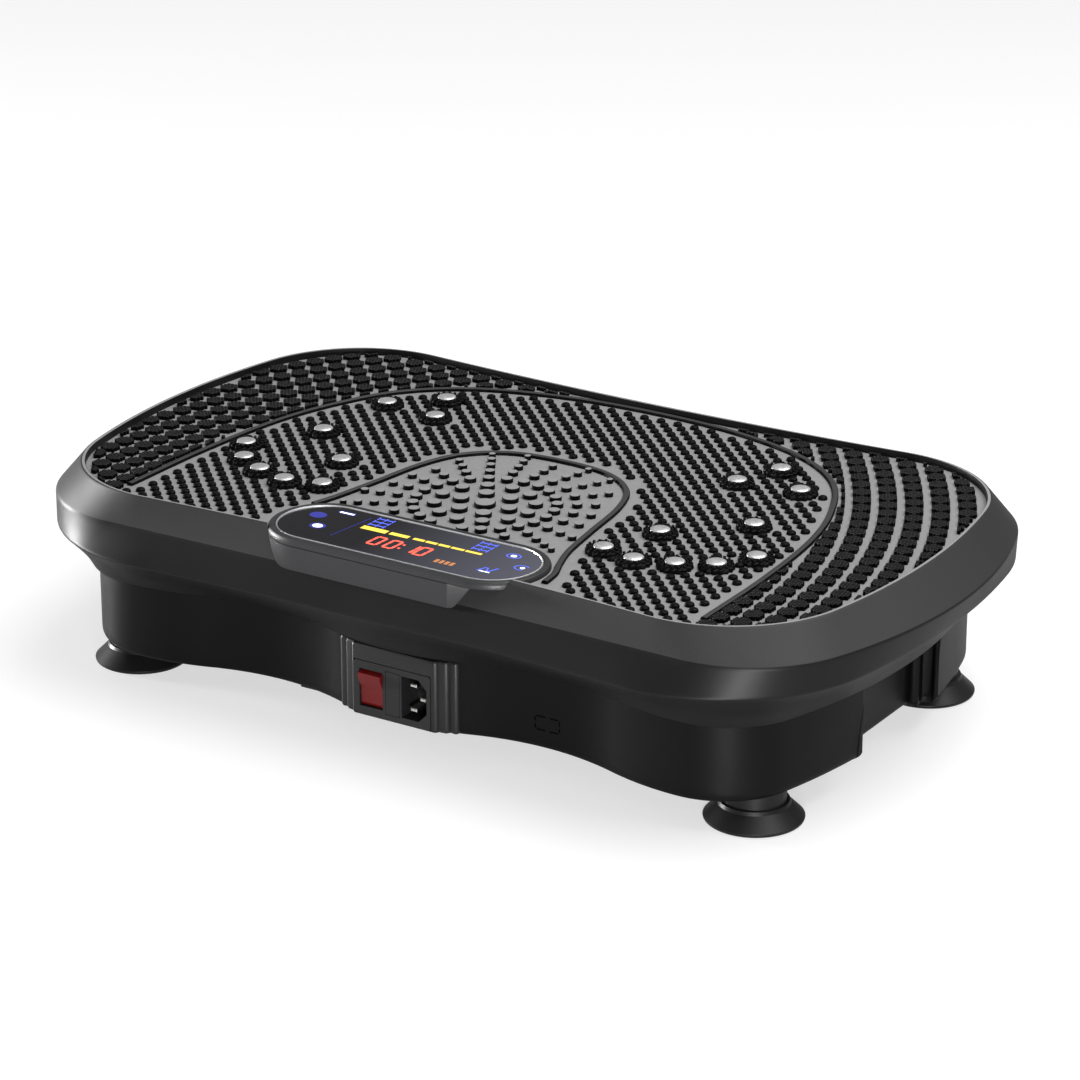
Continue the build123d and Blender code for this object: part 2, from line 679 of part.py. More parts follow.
with BuildPart() as magnet_discs:
    with BuildSketch(Plane.XY.offset(MAT_TOP)):
        with Locations(*DISCS, *[(-x, y) for x, y in DISCS]):
            Circle(DISC_R)
    extrude(amount=DISC_TOP - MAT_TOP)
    chamfer(magnet_discs.faces().group_by(Axis.Z)[-1].edges(), 1.4)
finish(magnet_discs.part, "magnet_discs")

with BuildPart() as disc_caps:
    with BuildSketch(Plane.XY.offset(DISC_TOP)):
        with Locations(*DISCS, *[(-x, y) for x, y in DISCS]):
            Circle(CAP_R)
    extrude(amount=CAP_TOP - DISC_TOP)
    chamfer(disc_caps.faces().group_by(Axis.Z)[-1].edges(), 1.1)
finish(disc_caps.part, "disc_caps")

# ---- console: housing, inset ring, glass and display board ----
with BuildPart() as console_housing:
    with BuildSketch(Plane.XY.offset(CONSOLE_LOW)):
        console_slot(0)
    extrude(amount=CONSOLE_Z - CONSOLE_LOW)
    fillet(console_housing.faces().sort_by(Axis.Z)[-1].edges(), 2.0)
    with BuildSketch(Plane.XY.offset(CONSOLE_LOW + 2)):
        console_slot(CONSOLE_LEDGE)
    extrude(amount=CONSOLE_Z - CONSOLE_LOW, mode=Mode.SUBTRACT)
    with BuildSketch(Plane.XY.offset(GLASS_LOW)):
        console_slot(CONSOLE_WALL)
    extrude(amount=CONSOLE_Z - GLASS_LOW, mode=Mode.SUBTRACT)
finish(console_housing.part, "console_housing")

with BuildPart() as console_ring:
    with BuildSketch(Plane.XY.offset(GLASS_LOW)):
        console_slot(CONSOLE_WALL)
        console_slot(CONSOLE_WALL + CONSOLE_RING, Mode.SUBTRACT)
    extrude(amount=CONSOLE_Z - GLASS_LOW)
finish(console_ring.part, "console_ring")

with BuildPart() as console_glass:
    with BuildSketch(Plane.XY.offset(GLASS_LOW)):
        console_slot(CONSOLE_GLASS)
    extrude(amount=GLASS_TOP - GLASS_LOW)
finish(console_glass.part, "console_glass")

with BuildPart() as display_board:
    with BuildSketch(Plane.XY.offset(CONSOLE_LOW + 7)):
        console_slot(CONSOLE_LEDGE + 6)
    extrude(amount=1.6)
    # digit module in the middle, a touch pad module on each side
    with BuildSketch(Plane.XY.offset(CONSOLE_LOW + 8.6)):
        with Locations(CONSOLE_AT):
            with Locations((0, 2), (-42, -4), (44, -4)):
                Rectangle(30, 18)
    extrude(amount=3)
finish(display_board.part, "display_board")

with BuildPart() as display_posts:
    with BuildSketch(Plane.XY.offset(CONSOLE_LOW + 2)):
        with Locations(CONSOLE_AT):
            with GridLocations(112, 28, 2, 2):
                Circle(2.6)
    extrude(amount=5)
finish(display_posts.part, "display_posts")

# ---- steel deck plate with its pivot and wrist brackets ----
PLATE_LOW = DECK_WALL_LOW - DECK_PLATE
with BuildPart() as deck_plate:
    with BuildSketch(Plane.XY.offset(PLATE_LOW)):
        with Locations((0, 8)):
            RectangleRounded(420, 176, 24)
            with GridLocations(160, 84, 2, 2):
                RectangleRounded(70, 34, 10, mode=Mode.SUBTRACT)
        with Locations(*PLATE_SCREWS):
            Circle(2.1, mode=Mode.SUBTRACT)
    extrude(amount=DECK_PLATE)
finish(deck_plate.part, "deck_plate")

with BuildPart() as plate_screws:
    with BuildSketch(Plane.XY.offset(PLATE_LOW)):
        with Locations(*PLATE_SCREWS):
            Circle(4)
    extrude(amount=-2.4)
    with BuildSketch(Plane.XY.offset(PLATE_LOW)):
        with Locations(*PLATE_SCREWS):
            Circle(1.9)
    extrude(amount=DECK_PLATE)
finish(plate_screws.part, "plate_screws")

EAR_Y = (PIVOT_Y - 11, PIVOT_Y + 7)
EAR_THICK = 4.0

with BuildPart() as pivot_brackets:
    for side in (-1, 1):
        with BuildSketch(Plane.XY.offset(PLATE_LOW)):
            with Locations((0, side * PIVOT_Y)):
                RectangleRounded(40, 26, 2)
        extrude(amount=-3)
        for y in EAR_Y:
            start = y if side > 0 else -y - EAR_THICK
            with BuildSketch(Plane.XZ.offset(-start)):
                with Locations((0, (PLATE_LOW + PIVOT_Z) / 2)):
                    Rectangle(24, PLATE_LOW - PIVOT_Z)
                with Locations((0, PIVOT_Z)):
                    Circle(12)
                    Circle(BUSH_R, mode=Mode.SUBTRACT)
            extrude(amount=-EAR_THICK)
finish(pivot_brackets.part, "pivot_brackets")

with BuildPart() as pivot_bushes:
    for side in (-1, 1):
        for y in EAR_Y:
            start = y if side > 0 else -y - EAR_THICK
            with BuildSketch(Plane.XZ.offset(-start)):
                with Locations((0, PIVOT_Z)):
                    Circle(BUSH_R)
                    Circle(PIVOT_R + RUNNING, mode=Mode.SUBTRACT)
            extrude(amount=-EAR_THICK)
finish(pivot_bushes.part, "pivot_bushes")

with BuildPart() as wrist_brackets:
    for side in (-1, 1):
        with BuildSketch(Plane.XY.offset(PLATE_LOW)):
            with Locations((side * ROD_X, 0)):
                RectangleRounded(34, 30, 2)
        extrude(amount=-3)
        for start in (-11, 8):
            with BuildSketch(Plane.YZ.offset(side * ROD_X + start)):
                with Locations((0, (PLATE_LOW + WRIST_Z) / 2)):
                    Rectangle(16, PLATE_LOW - WRIST_Z)
                with Locations((0, WRIST_Z)):
                    Circle(8)
                    Circle(WRIST_R, mode=Mode.SUBTRACT)
            extrude(amount=3)
finish(wrist_brackets.part, "wrist_brackets")

with BuildPart() as wrist_pins:
    for side in (-1, 1):
        with BuildSketch(Plane.YZ.offset(side * ROD_X - 12)):
            with Locations((0, WRIST_Z)):
                Circle(WRIST_R)
        extrude(amount=24)
finish(wrist_pins.part, "wrist_pins")
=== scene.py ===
from math import asin, atan2, cos, hypot, pi, radians, sin, sqrt

import bmesh
import bpy
import numpy as np
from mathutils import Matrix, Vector


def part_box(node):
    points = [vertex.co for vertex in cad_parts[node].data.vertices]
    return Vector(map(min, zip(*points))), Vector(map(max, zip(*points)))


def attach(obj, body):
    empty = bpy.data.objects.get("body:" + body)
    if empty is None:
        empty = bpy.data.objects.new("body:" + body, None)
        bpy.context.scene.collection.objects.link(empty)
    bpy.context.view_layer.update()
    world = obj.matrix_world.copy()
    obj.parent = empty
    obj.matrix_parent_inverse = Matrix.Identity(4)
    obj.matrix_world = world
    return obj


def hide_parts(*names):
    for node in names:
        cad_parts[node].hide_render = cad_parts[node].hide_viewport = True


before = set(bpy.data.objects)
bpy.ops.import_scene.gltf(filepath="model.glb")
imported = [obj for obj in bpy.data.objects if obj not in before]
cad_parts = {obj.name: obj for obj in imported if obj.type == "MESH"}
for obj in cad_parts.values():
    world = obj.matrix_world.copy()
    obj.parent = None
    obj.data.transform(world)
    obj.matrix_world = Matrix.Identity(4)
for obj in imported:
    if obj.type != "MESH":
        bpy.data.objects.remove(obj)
for startup in ("Cube", "Camera", "Light"):
    if startup in bpy.data.objects:
        bpy.data.objects.remove(bpy.data.objects[startup])
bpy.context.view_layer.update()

# Shapes are written in millimetres and become metres in make_object(). The frame is the part's own:
# the origin on the floor, X along the platform, -Y towards the console and the mains inlet.
MM = 0.001

# ---- platform outlines: half length, half waist, waist / shoulder / end radii ----
RIM = (246.0, 137.1, 2288.0, 73.6, 409.7)
CREASE = (266.2, 146.0, 8600.0, 70.2, 288.8)
EDGE = (259.4, 155.5, 2434.0, 92.9, 478.5)
RIM_WIDTH = 2.4
CREASE_Z = 101.9
EDGE_Z = 86.0

# ---- wave of the lip, as on the base ----
LIP_LENGTH = 236.0
WAVE_FRONT = 134.5
WAVE_DEPTH = 14.0
WAVE_STEP = 87.5
CORNER_R = 46.0
LIP_IN = 2.0
LIP_OUT = 3.6
SKIN = 3.6

# ---- massage mat ----
RIB_TALL = 2.0
RIB_WIDE = 3.6
# Faces of the rib's crown, which take the painted highlight material.
RIB_CROWN = (2, 3, 4)
ARCH_OUTER = (
    (0, 131), (58, 126.5), (108.5, 111), (143, 84), (163.5, 45), (175.5, 0), (181, -60), (182, -124),
)
ARCH_INNER = (
    (-79, -95), (-75, -80), (-70, -50), (-64, -12), (-53, 14), (-31, 30), (0, 34), (31, 30),
    (53, 14), (64, -12), (70, -50), (75, -80), (80.5, -98), (86, -112), (88, -125),
)


def node_box(name):
    """Lowest and highest corners of a CAD node, in millimetres."""
    low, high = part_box(name)
    return low / MM, high / MM


LIP_Z = node_box("top_cover")[0].z
RIM_Z = node_box("top_cover")[1].z
MAT_LOW = node_box("standing_mat")[0].z
MAT_TOP = node_box("standing_mat")[1].z - RIB_TALL
GLASS_TOP = node_box("console_glass")[1].z
SHELL_LOW, SHELL_HIGH = node_box("console_housing")
CONSOLE_MIDDLE = (SHELL_LOW + SHELL_HIGH) / 2
CONSOLE_X, CONSOLE_Y = CONSOLE_MIDDLE.x, CONSOLE_MIDDLE.y
CONSOLE_HALF = ((SHELL_HIGH - SHELL_LOW) / 2).xy
CONSOLE_REACH = CONSOLE_HALF[0] - CONSOLE_HALF[1]


# =============================== materials ===============================

def principled(name, colour, roughness, metallic=0.0, specular=0.5, coat=0.0):
    """A material with a plain Principled shader, and the tree to add detail to."""
    material = bpy.data.materials.new(name)
    material.use_nodes = True
    shader = material.node_tree.nodes["Principled BSDF"]
    shader.inputs["Base Color"].default_value = (*colour, 1.0)
    shader.inputs["Roughness"].default_value = roughness
    shader.inputs["Metallic"].default_value = metallic
    shader.inputs["Specular IOR Level"].default_value = specular
    shader.inputs["Coat Weight"].default_value = coat
    return material, shader


def noise(tree, size, detail=2.0, stretch=(1.0, 1.0, 1.0)):
    """Noise with features of about the given size in millimetres, fixed to the object."""
    where = tree.nodes.new("ShaderNodeTexCoord")
    scale = tree.nodes.new("ShaderNodeMapping")
    scale.inputs["Scale"].default_value = stretch
    texture = tree.nodes.new("ShaderNodeTexNoise")
    texture.inputs["Scale"].default_value = 1.0 / (size * MM)
    texture.inputs["Detail"].default_value = detail
    tree.links.new(where.outputs["Object"], scale.inputs["Vector"])
    tree.links.new(scale.outputs["Vector"], texture.inputs["Vector"])
    return texture.outputs["Fac"]


def add_range(tree, fac, low, high):
    """Noise spread over a range of values."""
    node = tree.nodes.new("ShaderNodeMapRange")
    node.inputs["From Min"].default_value = 0.3
    node.inputs["From Max"].default_value = 0.7
    node.inputs["To Min"].default_value = low
    node.inputs["To Max"].default_value = high
    tree.links.new(fac, node.inputs["Value"])
    return node.outputs["Result"]


def moulded(name, colour, roughness, grain=0.5, depth=0.02, strength=0.3, vary=0.12, **more):
    """Moulded plastic or rubber: fine grain in relief, with uneven gloss and colour."""
    material, shader = principled(name, colour, roughness, **more)
    tree = material.node_tree
    fine = noise(tree, grain)
    broad = noise(tree, 40.0, detail=3.0)
    bump = tree.nodes.new("ShaderNodeBump")
    bump.inputs["Strength"].default_value = strength
    bump.inputs["Distance"].default_value = depth * MM
    tree.links.new(fine, bump.inputs["Height"])
    tree.links.new(bump.outputs["Normal"], shader.inputs["Normal"])
    tree.links.new(add_range(tree, broad, roughness * 0.93, roughness * 1.07), shader.inputs["Roughness"])
    tint = tree.nodes.new("ShaderNodeMix")
    tint.data_type = "RGBA"
    tint.inputs["A"].default_value = (*(c * (1 - vary) for c in colour), 1.0)
    tint.inputs["B"].default_value = (*(c * (1 + vary) for c in colour), 1.0)
    tree.links.new(add_range(tree, fine, 0.0, 1.0), tint.inputs["Factor"])
    tree.links.new(tint.outputs["Result"], shader.inputs["Base Color"])
    return material


def metal(name, colour, roughness, streaks=(1.0, 1.0, 1.0), size=1.2):
    """Bare or plated metal with faint streaks in its gloss."""
    material, shader = principled(name, colour, roughness, metallic=1.0)
    tree = material.node_tree
    fine = noise(tree, size, detail=4.0, stretch=streaks)
    tree.links.new(add_range(tree, fine, roughness * 0.8, roughness * 1.25), shader.inputs["Roughness"])
    bump = tree.nodes.new("ShaderNodeBump")
    bump.inputs["Strength"].default_value = 0.15
    bump.inputs["Distance"].default_value = 0.01 * MM
    tree.links.new(fine, bump.inputs["Height"])
    tree.links.new(bump.outputs["Normal"], shader.inputs["Normal"])
    return material


def glowing(name, colour, strength):
    """A lit display element."""
    material, shader = principled(name, (0.01, 0.01, 0.01), 0.3)
    shader.inputs["Emission Color"].default_value = (*colour, 1.0)
    shader.inputs["Emission Strength"].default_value = strength
    return material


COVER_GRAIN = moulded("cover_grain", (0.021, 0.021, 0.022), 0.55,
                      grain=0.55, depth=0.05, strength=0.5, specular=0.32)
COVER_SMOOTH = moulded("cover_smooth", (0.006, 0.006, 0.0065), 0.46,
                       grain=0.4, depth=0.012, strength=0.2, specular=0.2)
MAT_GREY = moulded("mat_floor", (0.28, 0.28, 0.28), 0.48,
                   grain=1.4, depth=0.03, strength=0.35, vary=0.08, specular=0.4)
NUB_BLACK = moulded("nub_rubber", (0.0015, 0.0015, 0.0016), 0.5,
                    grain=0.6, depth=0.02, strength=0.2, specular=0.1)
# A lighter copy of the nub rubber: a painted highlight on the rib crowns and the pins' top rims.
NUB_PAINTED_HIGHLIGHT = moulded("nub_rim_painted_highlight", (0.035, 0.035, 0.036), 0.5, grain=0.6, depth=0.02, strength=0.2, specular=0.4)
DISC_BLACK = moulded("disc_rubber", (0.0015, 0.0015, 0.0015), 0.42,
                     grain=0.5, depth=0.02, strength=0.2, specular=0.12)
CAP_SILVER = metal("cap_metal", (0.78, 0.78, 0.79), 0.45)
POD_GREY = moulded("pod_shell", (0.026, 0.026, 0.028), 0.42,
                   grain=0.4, depth=0.008, strength=0.15, specular=0.4)
RING_SILVER = metal("ring_metal", (0.75, 0.75, 0.77), 0.5, streaks=(1.0, 8.0, 1.0))
LIT_RED = glowing("lit_red", (1.0, 0.10, 0.06), 2.2)
LIT_YELLOW = glowing("lit_yellow", (1.0, 0.72, 0.08), 1.5)
LIT_ORANGE = glowing("lit_orange", (0.9, 0.35, 0.12), 0.8)
LIT_BLUE = glowing("lit_blue", (0.10, 0.16, 1.0), 1.3)
LIT_DIM = glowing("lit_dim", (0.03, 0.04, 0.55), 0.7)
LIT_WHITE = glowing("lit_white", (0.75, 0.82, 1.0), 3.0)

CAD_FINISH = {
    "base_plastic": moulded("base_shell", (0.0018, 0.0018, 0.0020), 0.42,
                            grain=0.5, depth=0.012, strength=0.2, specular=0.15),
    "cover_plastic": COVER_SMOOTH,
    "console_plastic": POD_GREY,
    "module_plastic": moulded("module_shell", (0.012, 0.012, 0.0125), 0.45,
                              grain=0.4, depth=0.01, strength=0.2, specular=0.35),
    "red_plastic": moulded("rocker_red", (0.11, 0.003, 0.003), 0.34,
                           grain=0.5, depth=0.006, strength=0.1, specular=0.4),
    "nylon": moulded("post_nylon", (0.55, 0.54, 0.50), 0.5),
    "board_green": moulded("board_green", (0.012, 0.09, 0.035), 0.4, grain=1.5, depth=0.02),
    "disc_plastic": DISC_BLACK,
    "silver_cap": CAP_SILVER,
    "silver_ring": RING_SILVER,
    "dark_glass": None,
    "fuse_glass": moulded("fuse_body", (0.62, 0.64, 0.62), 0.12),
    "mat_rubber": MAT_GREY,
    "foot_rubber": moulded("foot_rubber", (0.006, 0.006, 0.006), 0.40,
                           grain=0.5, depth=0.015, strength=0.25, specular=0.3),
    "belt_rubber": moulded("belt_rubber", (0.02, 0.02, 0.02), 0.6),
    "zinc_steel": metal("zinc_steel", (0.62, 0.63, 0.64), 0.34),
    "ground_steel": metal("ground_steel", (0.60, 0.60, 0.60), 0.22, streaks=(1.0, 12.0, 12.0)),
    "core_steel": metal("core_steel", (0.33, 0.32, 0.30), 0.45),
    "deck_steel": moulded("deck_steel", (0.05, 0.05, 0.055), 0.4, grain=1.0),
    "motor_paint": moulded("motor_paint", (0.03, 0.03, 0.035), 0.35, grain=1.0),
    "cast_alloy": moulded("cast_alloy", (0.40, 0.40, 0.41), 0.5, grain=0.9, depth=0.05, metallic=0.9),
    "bronze": metal("bronze", (0.62, 0.40, 0.20), 0.35),
    "nickel_pin": metal("nickel_pin", (0.80, 0.78, 0.74), 0.2),
}


def display_glass_painted_reflection():
    """Smoked display window, near black on the left, with a painted blue-grey reflection that grows towards
    the right.
    """
    material, shader = principled("display_window_painted_reflection", (0.010, 0.010, 0.013), 0.12, specular=0.22)
    tree = material.node_tree
    smears = noise(tree, 26.0, detail=3.0)
    tree.links.new(add_range(tree, smears, 0.09, 0.16), shader.inputs["Roughness"])
    where = tree.nodes.new("ShaderNodeTexCoord")
    split = tree.nodes.new("ShaderNodeSeparateXYZ")
    tree.links.new(where.outputs["Object"], split.inputs["Vector"])
    across = tree.nodes.new("ShaderNodeMapRange")
    across.inputs["From Min"].default_value = -25 * MM
    across.inputs["From Max"].default_value = 75 * MM
    tree.links.new(split.outputs["X"], across.inputs["Value"])
    # Painted reflection: the base colour runs from near black at the left to blue-grey at the right.
    tint = tree.nodes.new("ShaderNodeMix")
    tint.data_type = "RGBA"
    tint.inputs["A"].default_value = (0.002, 0.002, 0.004, 1.0)
    tint.inputs["B"].default_value = (0.085, 0.087, 0.115, 1.0)
    tree.links.new(across.outputs["Result"], tint.inputs["Factor"])
    tree.links.new(tint.outputs["Result"], shader.inputs["Base Color"])
    return material


CAD_FINISH["dark_glass"] = display_glass_painted_reflection()

for name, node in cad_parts.items():
    finish_name = node.data.materials[0].name.split(".")[0]
    node.data.materials.clear()
    node.data.materials.append(CAD_FINISH[finish_name])


# =============================== mesh helpers ===============================

def make_object(name, points, faces, materials, body, slot, slots=None, sharp=32.0):
    """A mesh piece in the frame, smooth but for edges sharper than the given angle."""
    mesh = bpy.data.meshes.new(name)
    mesh.from_pydata((np.asarray(points, float) * MM).tolist(), [], faces)
    for material in materials:
        mesh.materials.append(material)
    if slots is not None:
        mesh.polygons.foreach_set("material_index", slots)
    mesh.validate()
    mesh.shade_smooth()
    mesh.set_sharp_from_angle(angle=radians(sharp))
    piece = bpy.data.objects.new(name, mesh)
    bpy.context.scene.collection.objects.link(piece)
    if body:
        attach(piece, body)
    return piece


def arc(centre, radius, start, end, count=60):
    """Points along an arc, from one angle to another."""
    turns = np.linspace(start, end, count)
    return [(centre[0] + radius * cos(a), centre[1] + radius * sin(a)) for a in turns]


def meeting_point(c0, r0, c1, r1):
    """Point at r0 from c0 and at r1 from c1, on the side of the larger X."""
    dx, dy = c1[0] - c0[0], c1[1] - c0[1]
    gap = hypot(dx, dy)
    along = (r0 * r0 - r1 * r1 + gap * gap) / (2 * gap)
    side = sqrt(r0 * r0 - along * along)
    ux, uy = dx / gap, dy / gap
    ends = [(c0[0] + along * ux - s * uy, c0[1] + along * uy + s * ux) for s in (side, -side)]
    return max(ends)


def waisted_quarter(outline, grow=0.0):
    """A quarter of a platform outline: a shallow waist, a round shoulder and a gently curved end."""
    length, waist, waist_r, shoulder_r, end_r = outline
    waist_c = (0, -waist - waist_r)
    end_c = (length - end_r, 0)
    shoulder_c = meeting_point(waist_c, waist_r + shoulder_r, end_c, end_r - shoulder_r)
    waist_end = atan2(shoulder_c[1] - waist_c[1], shoulder_c[0] - waist_c[0])
    end_start = atan2(shoulder_c[1] - end_c[1], shoulder_c[0] - end_c[0])
    points = arc(waist_c, waist_r - grow, pi / 2, waist_end)
    points += arc(shoulder_c, shoulder_r + grow, waist_end - pi, end_start)
    return points + arc(end_c, end_r + grow, end_start, 0)


def waved_quarter(length, grow=0.0):
    """A quarter of the base outline: a wave along the front, a round corner and a curved end."""
    wave_r = (WAVE_STEP**2 + WAVE_DEPTH**2) / (4 * WAVE_DEPTH)
    swing = asin(WAVE_STEP / 2 / wave_r)
    span = length - 2 * WAVE_STEP
    side = WAVE_FRONT - CORNER_R
    end_r = (span**2 + side**2 - CORNER_R**2) / (2 * (span - CORNER_R))
    crest_y = -WAVE_FRONT + wave_r
    valley_c = (WAVE_STEP, -WAVE_FRONT + WAVE_DEPTH - wave_r)
    corner_c = (2 * WAVE_STEP, -WAVE_FRONT + CORNER_R)
    end_c = (length - end_r, 0)
    end_start = atan2(corner_c[1] - end_c[1], corner_c[0] - end_c[0])
    points = arc((0, crest_y), wave_r + grow, -pi / 2, -pi / 2 + swing)
    points += arc(valley_c, wave_r - grow, pi / 2 + swing, pi / 2 - swing)
    points += arc((2 * WAVE_STEP, crest_y), wave_r + grow, -pi / 2 - swing, -pi / 2)
    points += arc(corner_c, CORNER_R + grow, -pi / 2, end_start)
    return points + arc(end_c, end_r + grow, end_start, 0)


def reach(quarter, angles):
    """Distance from the centre to an outline, given as a quarter, in each direction."""
    x, y = np.abs(np.array(quarter).T)
    turn = np.arctan2(y, x)
    order = np.argsort(turn)
    folded = np.arctan2(np.abs(np.sin(angles)), np.abs(np.cos(angles)))
    return np.interp(folded, turn[order], np.hypot(x, y)[order])


def even_angles(quarter, count):
    """Directions that divide an outline into equal lengths."""
    fine = np.linspace(0, 2 * pi, 6001)
    far = reach(quarter, fine)
    steps = np.hypot(np.diff(far * np.cos(fine)), np.diff(far * np.sin(fine)))
    travel = np.concatenate(([0], np.cumsum(steps)))
    return np.interp(np.linspace(0, travel[-1], count, endpoint=False), travel, fine)


def rounded(corners, steps=5):
    """Rings along a closed profile whose corners are (distances, height, rounding)."""
    rings = []
    total = len(corners)
    at = [np.stack((far, np.full_like(far, z)), axis=1) for far, z, _ in corners]
    for i, (_, _, rounding) in enumerate(corners):
        here, before, after = at[i], at[i - 1], at[(i + 1) % total]
        back, ahead = before - here, after - here
        gap_back = np.linalg.norm(back, axis=1, keepdims=True)
        gap_ahead = np.linalg.norm(ahead, axis=1, keepdims=True)
        start = here + back / gap_back * np.minimum(rounding, 0.45 * gap_back)
        end = here + ahead / gap_ahead * np.minimum(rounding, 0.45 * gap_ahead)
        for s in np.linspace(0, 1, steps + 1):
            rings.append((1 - s) ** 2 * start + 2 * s * (1 - s) * here + s * s * end)
        following = corners[(i + 1) % total][2]
        next_start = after - ahead / gap_ahead * np.minimum(following, 0.45 * gap_ahead)
        for s in (0.06, 0.5, 0.94):
            rings.append(end + s * (next_start - end))
    return rings


def lathe_outline(rings, angles, closed=True):
    """Points and faces of rings of (distance, height) about the vertical axis."""
    points = []
    for ring in rings:
        points += zip(ring[:, 0] * np.cos(angles), ring[:, 0] * np.sin(angles), ring[:, 1])
    return points, band_faces(len(rings), len(angles), closed)


def band_faces(rings, around, closed=False):
    """Quads between neighbouring rings of points."""
    faces = []
    for i in range(rings if closed else rings - 1):
        a, b = i * around, (i + 1) % rings * around
        faces += [(a + j, a + (j + 1) % around, b + (j + 1) % around, b + j) for j in range(around)]
    return faces


def prism(outline, low, high):
    """A closed prism over an outline of (x, y) points."""
    count = len(outline)
    points = [(x, y, low) for x, y in outline] + [(x, y, high) for x, y in outline]
    faces = band_faces(2, count) + [tuple(range(count))[::-1], tuple(range(count, 2 * count))]
    return points, faces


def face_outwards(piece):
    """Turns the faces of a closed piece outwards."""
    form = bmesh.new()
    form.from_mesh(piece.data)
    bmesh.ops.recalc_face_normals(form, faces=form.faces)
    form.to_mesh(piece.data)
    form.free()


def cut_with(piece, cutter):
    """Subtracts the cutter from a piece."""
    face_outwards(piece)
    face_outwards(cutter)
    change = piece.modifiers.new("cut", "BOOLEAN")
    change.operation = "DIFFERENCE"
    change.solver = "EXACT"
    change.object = cutter
    made = bpy.data.meshes.new_from_object(piece.evaluated_get(bpy.context.evaluated_depsgraph_get()))
    piece.modifiers.clear()
    piece.data = made
    made.shade_smooth()
    made.set_sharp_from_angle(angle=radians(32))


def stadium(grow=0.0, count=48):
    """The console's outline, grown or shrunk, as points that run round it."""
    radius = CONSOLE_HALF[1] + grow
    points = arc((CONSOLE_X + CONSOLE_REACH, CONSOLE_Y), radius, -pi / 2, pi / 2, count)
    return points + arc((CONSOLE_X - CONSOLE_REACH, CONSOLE_Y), radius, pi / 2, 3 * pi / 2, count)


def smooth_path(points, each=24):
    """A smooth curve through points, as evenly parametrised samples."""
    p = np.array(points, float)
    p = np.vstack((2 * p[0] - p[1], p, 2 * p[-1] - p[-2]))
    made = []
    for i in range(1, len(p) - 2):
        for s in np.linspace(0, 1, each, endpoint=False):
            a, b, c, d = p[i - 1:i + 3]
            made.append(0.5 * (2 * b + (c - a) * s + (2 * a - 5 * b + 4 * c - d) * s**2
                               + (3 * b - a - 3 * c + d) * s**3))
    made.append(p[-2])
    return np.array(made)


def both_sides(half):
    """Mirrors a half path that starts at X = 0."""
    return [(-x, y) for x, y in half[:0:-1]] + list(half)


def away_from(places, path):
    """Distance from each place to the nearest point of a path."""
    gaps = np.linalg.norm(places[:, None, :] - path[None, :, :], axis=2)
    return gaps.min(axis=1)


# =============================== platform cover ===============================

ANGLES = even_angles(waisted_quarter(CREASE), 760)
RIM_REACH = reach(waisted_quarter(RIM), ANGLES)
CREASE_REACH = reach(waisted_quarter(CREASE), ANGLES)
EDGE_REACH = reach(waisted_quarter(EDGE), ANGLES)
LIP_REACH = reach(waved_quarter(LIP_LENGTH), ANGLES)

POD_LOW_Z = SHELL_LOW.z - 1.0
FLANGE_TALL = 4.6
POD_CORNER = np.array((43.5, CONSOLE_Y - CONSOLE_HALF[1]))
POD_SIDE = np.array((84.0, -119.5))


def shell_ring(grow=0.0):
    """The console's outline, with points along its straight front as well."""
    radius = CONSOLE_HALF[1] + grow
    along = np.linspace(CONSOLE_X - CONSOLE_REACH, CONSOLE_X + CONSOLE_REACH, 60)
    front = [(x, CONSOLE_Y - radius) for x in along]
    return stadium(grow) + front[1:-1]


def body_ring(grow=0.0):
    """The outline below the flange: cut back from a crisp corner at the right of the flat front."""
    along = (POD_SIDE - POD_CORNER) / np.linalg.norm(POD_SIDE - POD_CORNER)
    outwards = np.array((along[1], -along[0]))
    ring = np.array(shell_ring(grow))
    past = np.maximum(0.0, (ring - POD_CORNER) @ outwards - grow)
    return [tuple(point) for point in ring - past[:, None] * outwards]


CUT_STEP_Z = SHELL_HIGH.z - 2.4
FLANGE_Z = SHELL_HIGH.z - FLANGE_TALL + 0.4
cutters = [make_object("cutter", *prism(outline, low, high), [], None, None) for outline, low, high in (
    (body_ring(-1.2), SHELL_LOW.z - 0.2, FLANGE_Z + 0.3),
    (shell_ring(-0.9), FLANGE_Z, CUT_STEP_Z + 0.3),
    (shell_ring(0.1), CUT_STEP_Z, 140),
)]


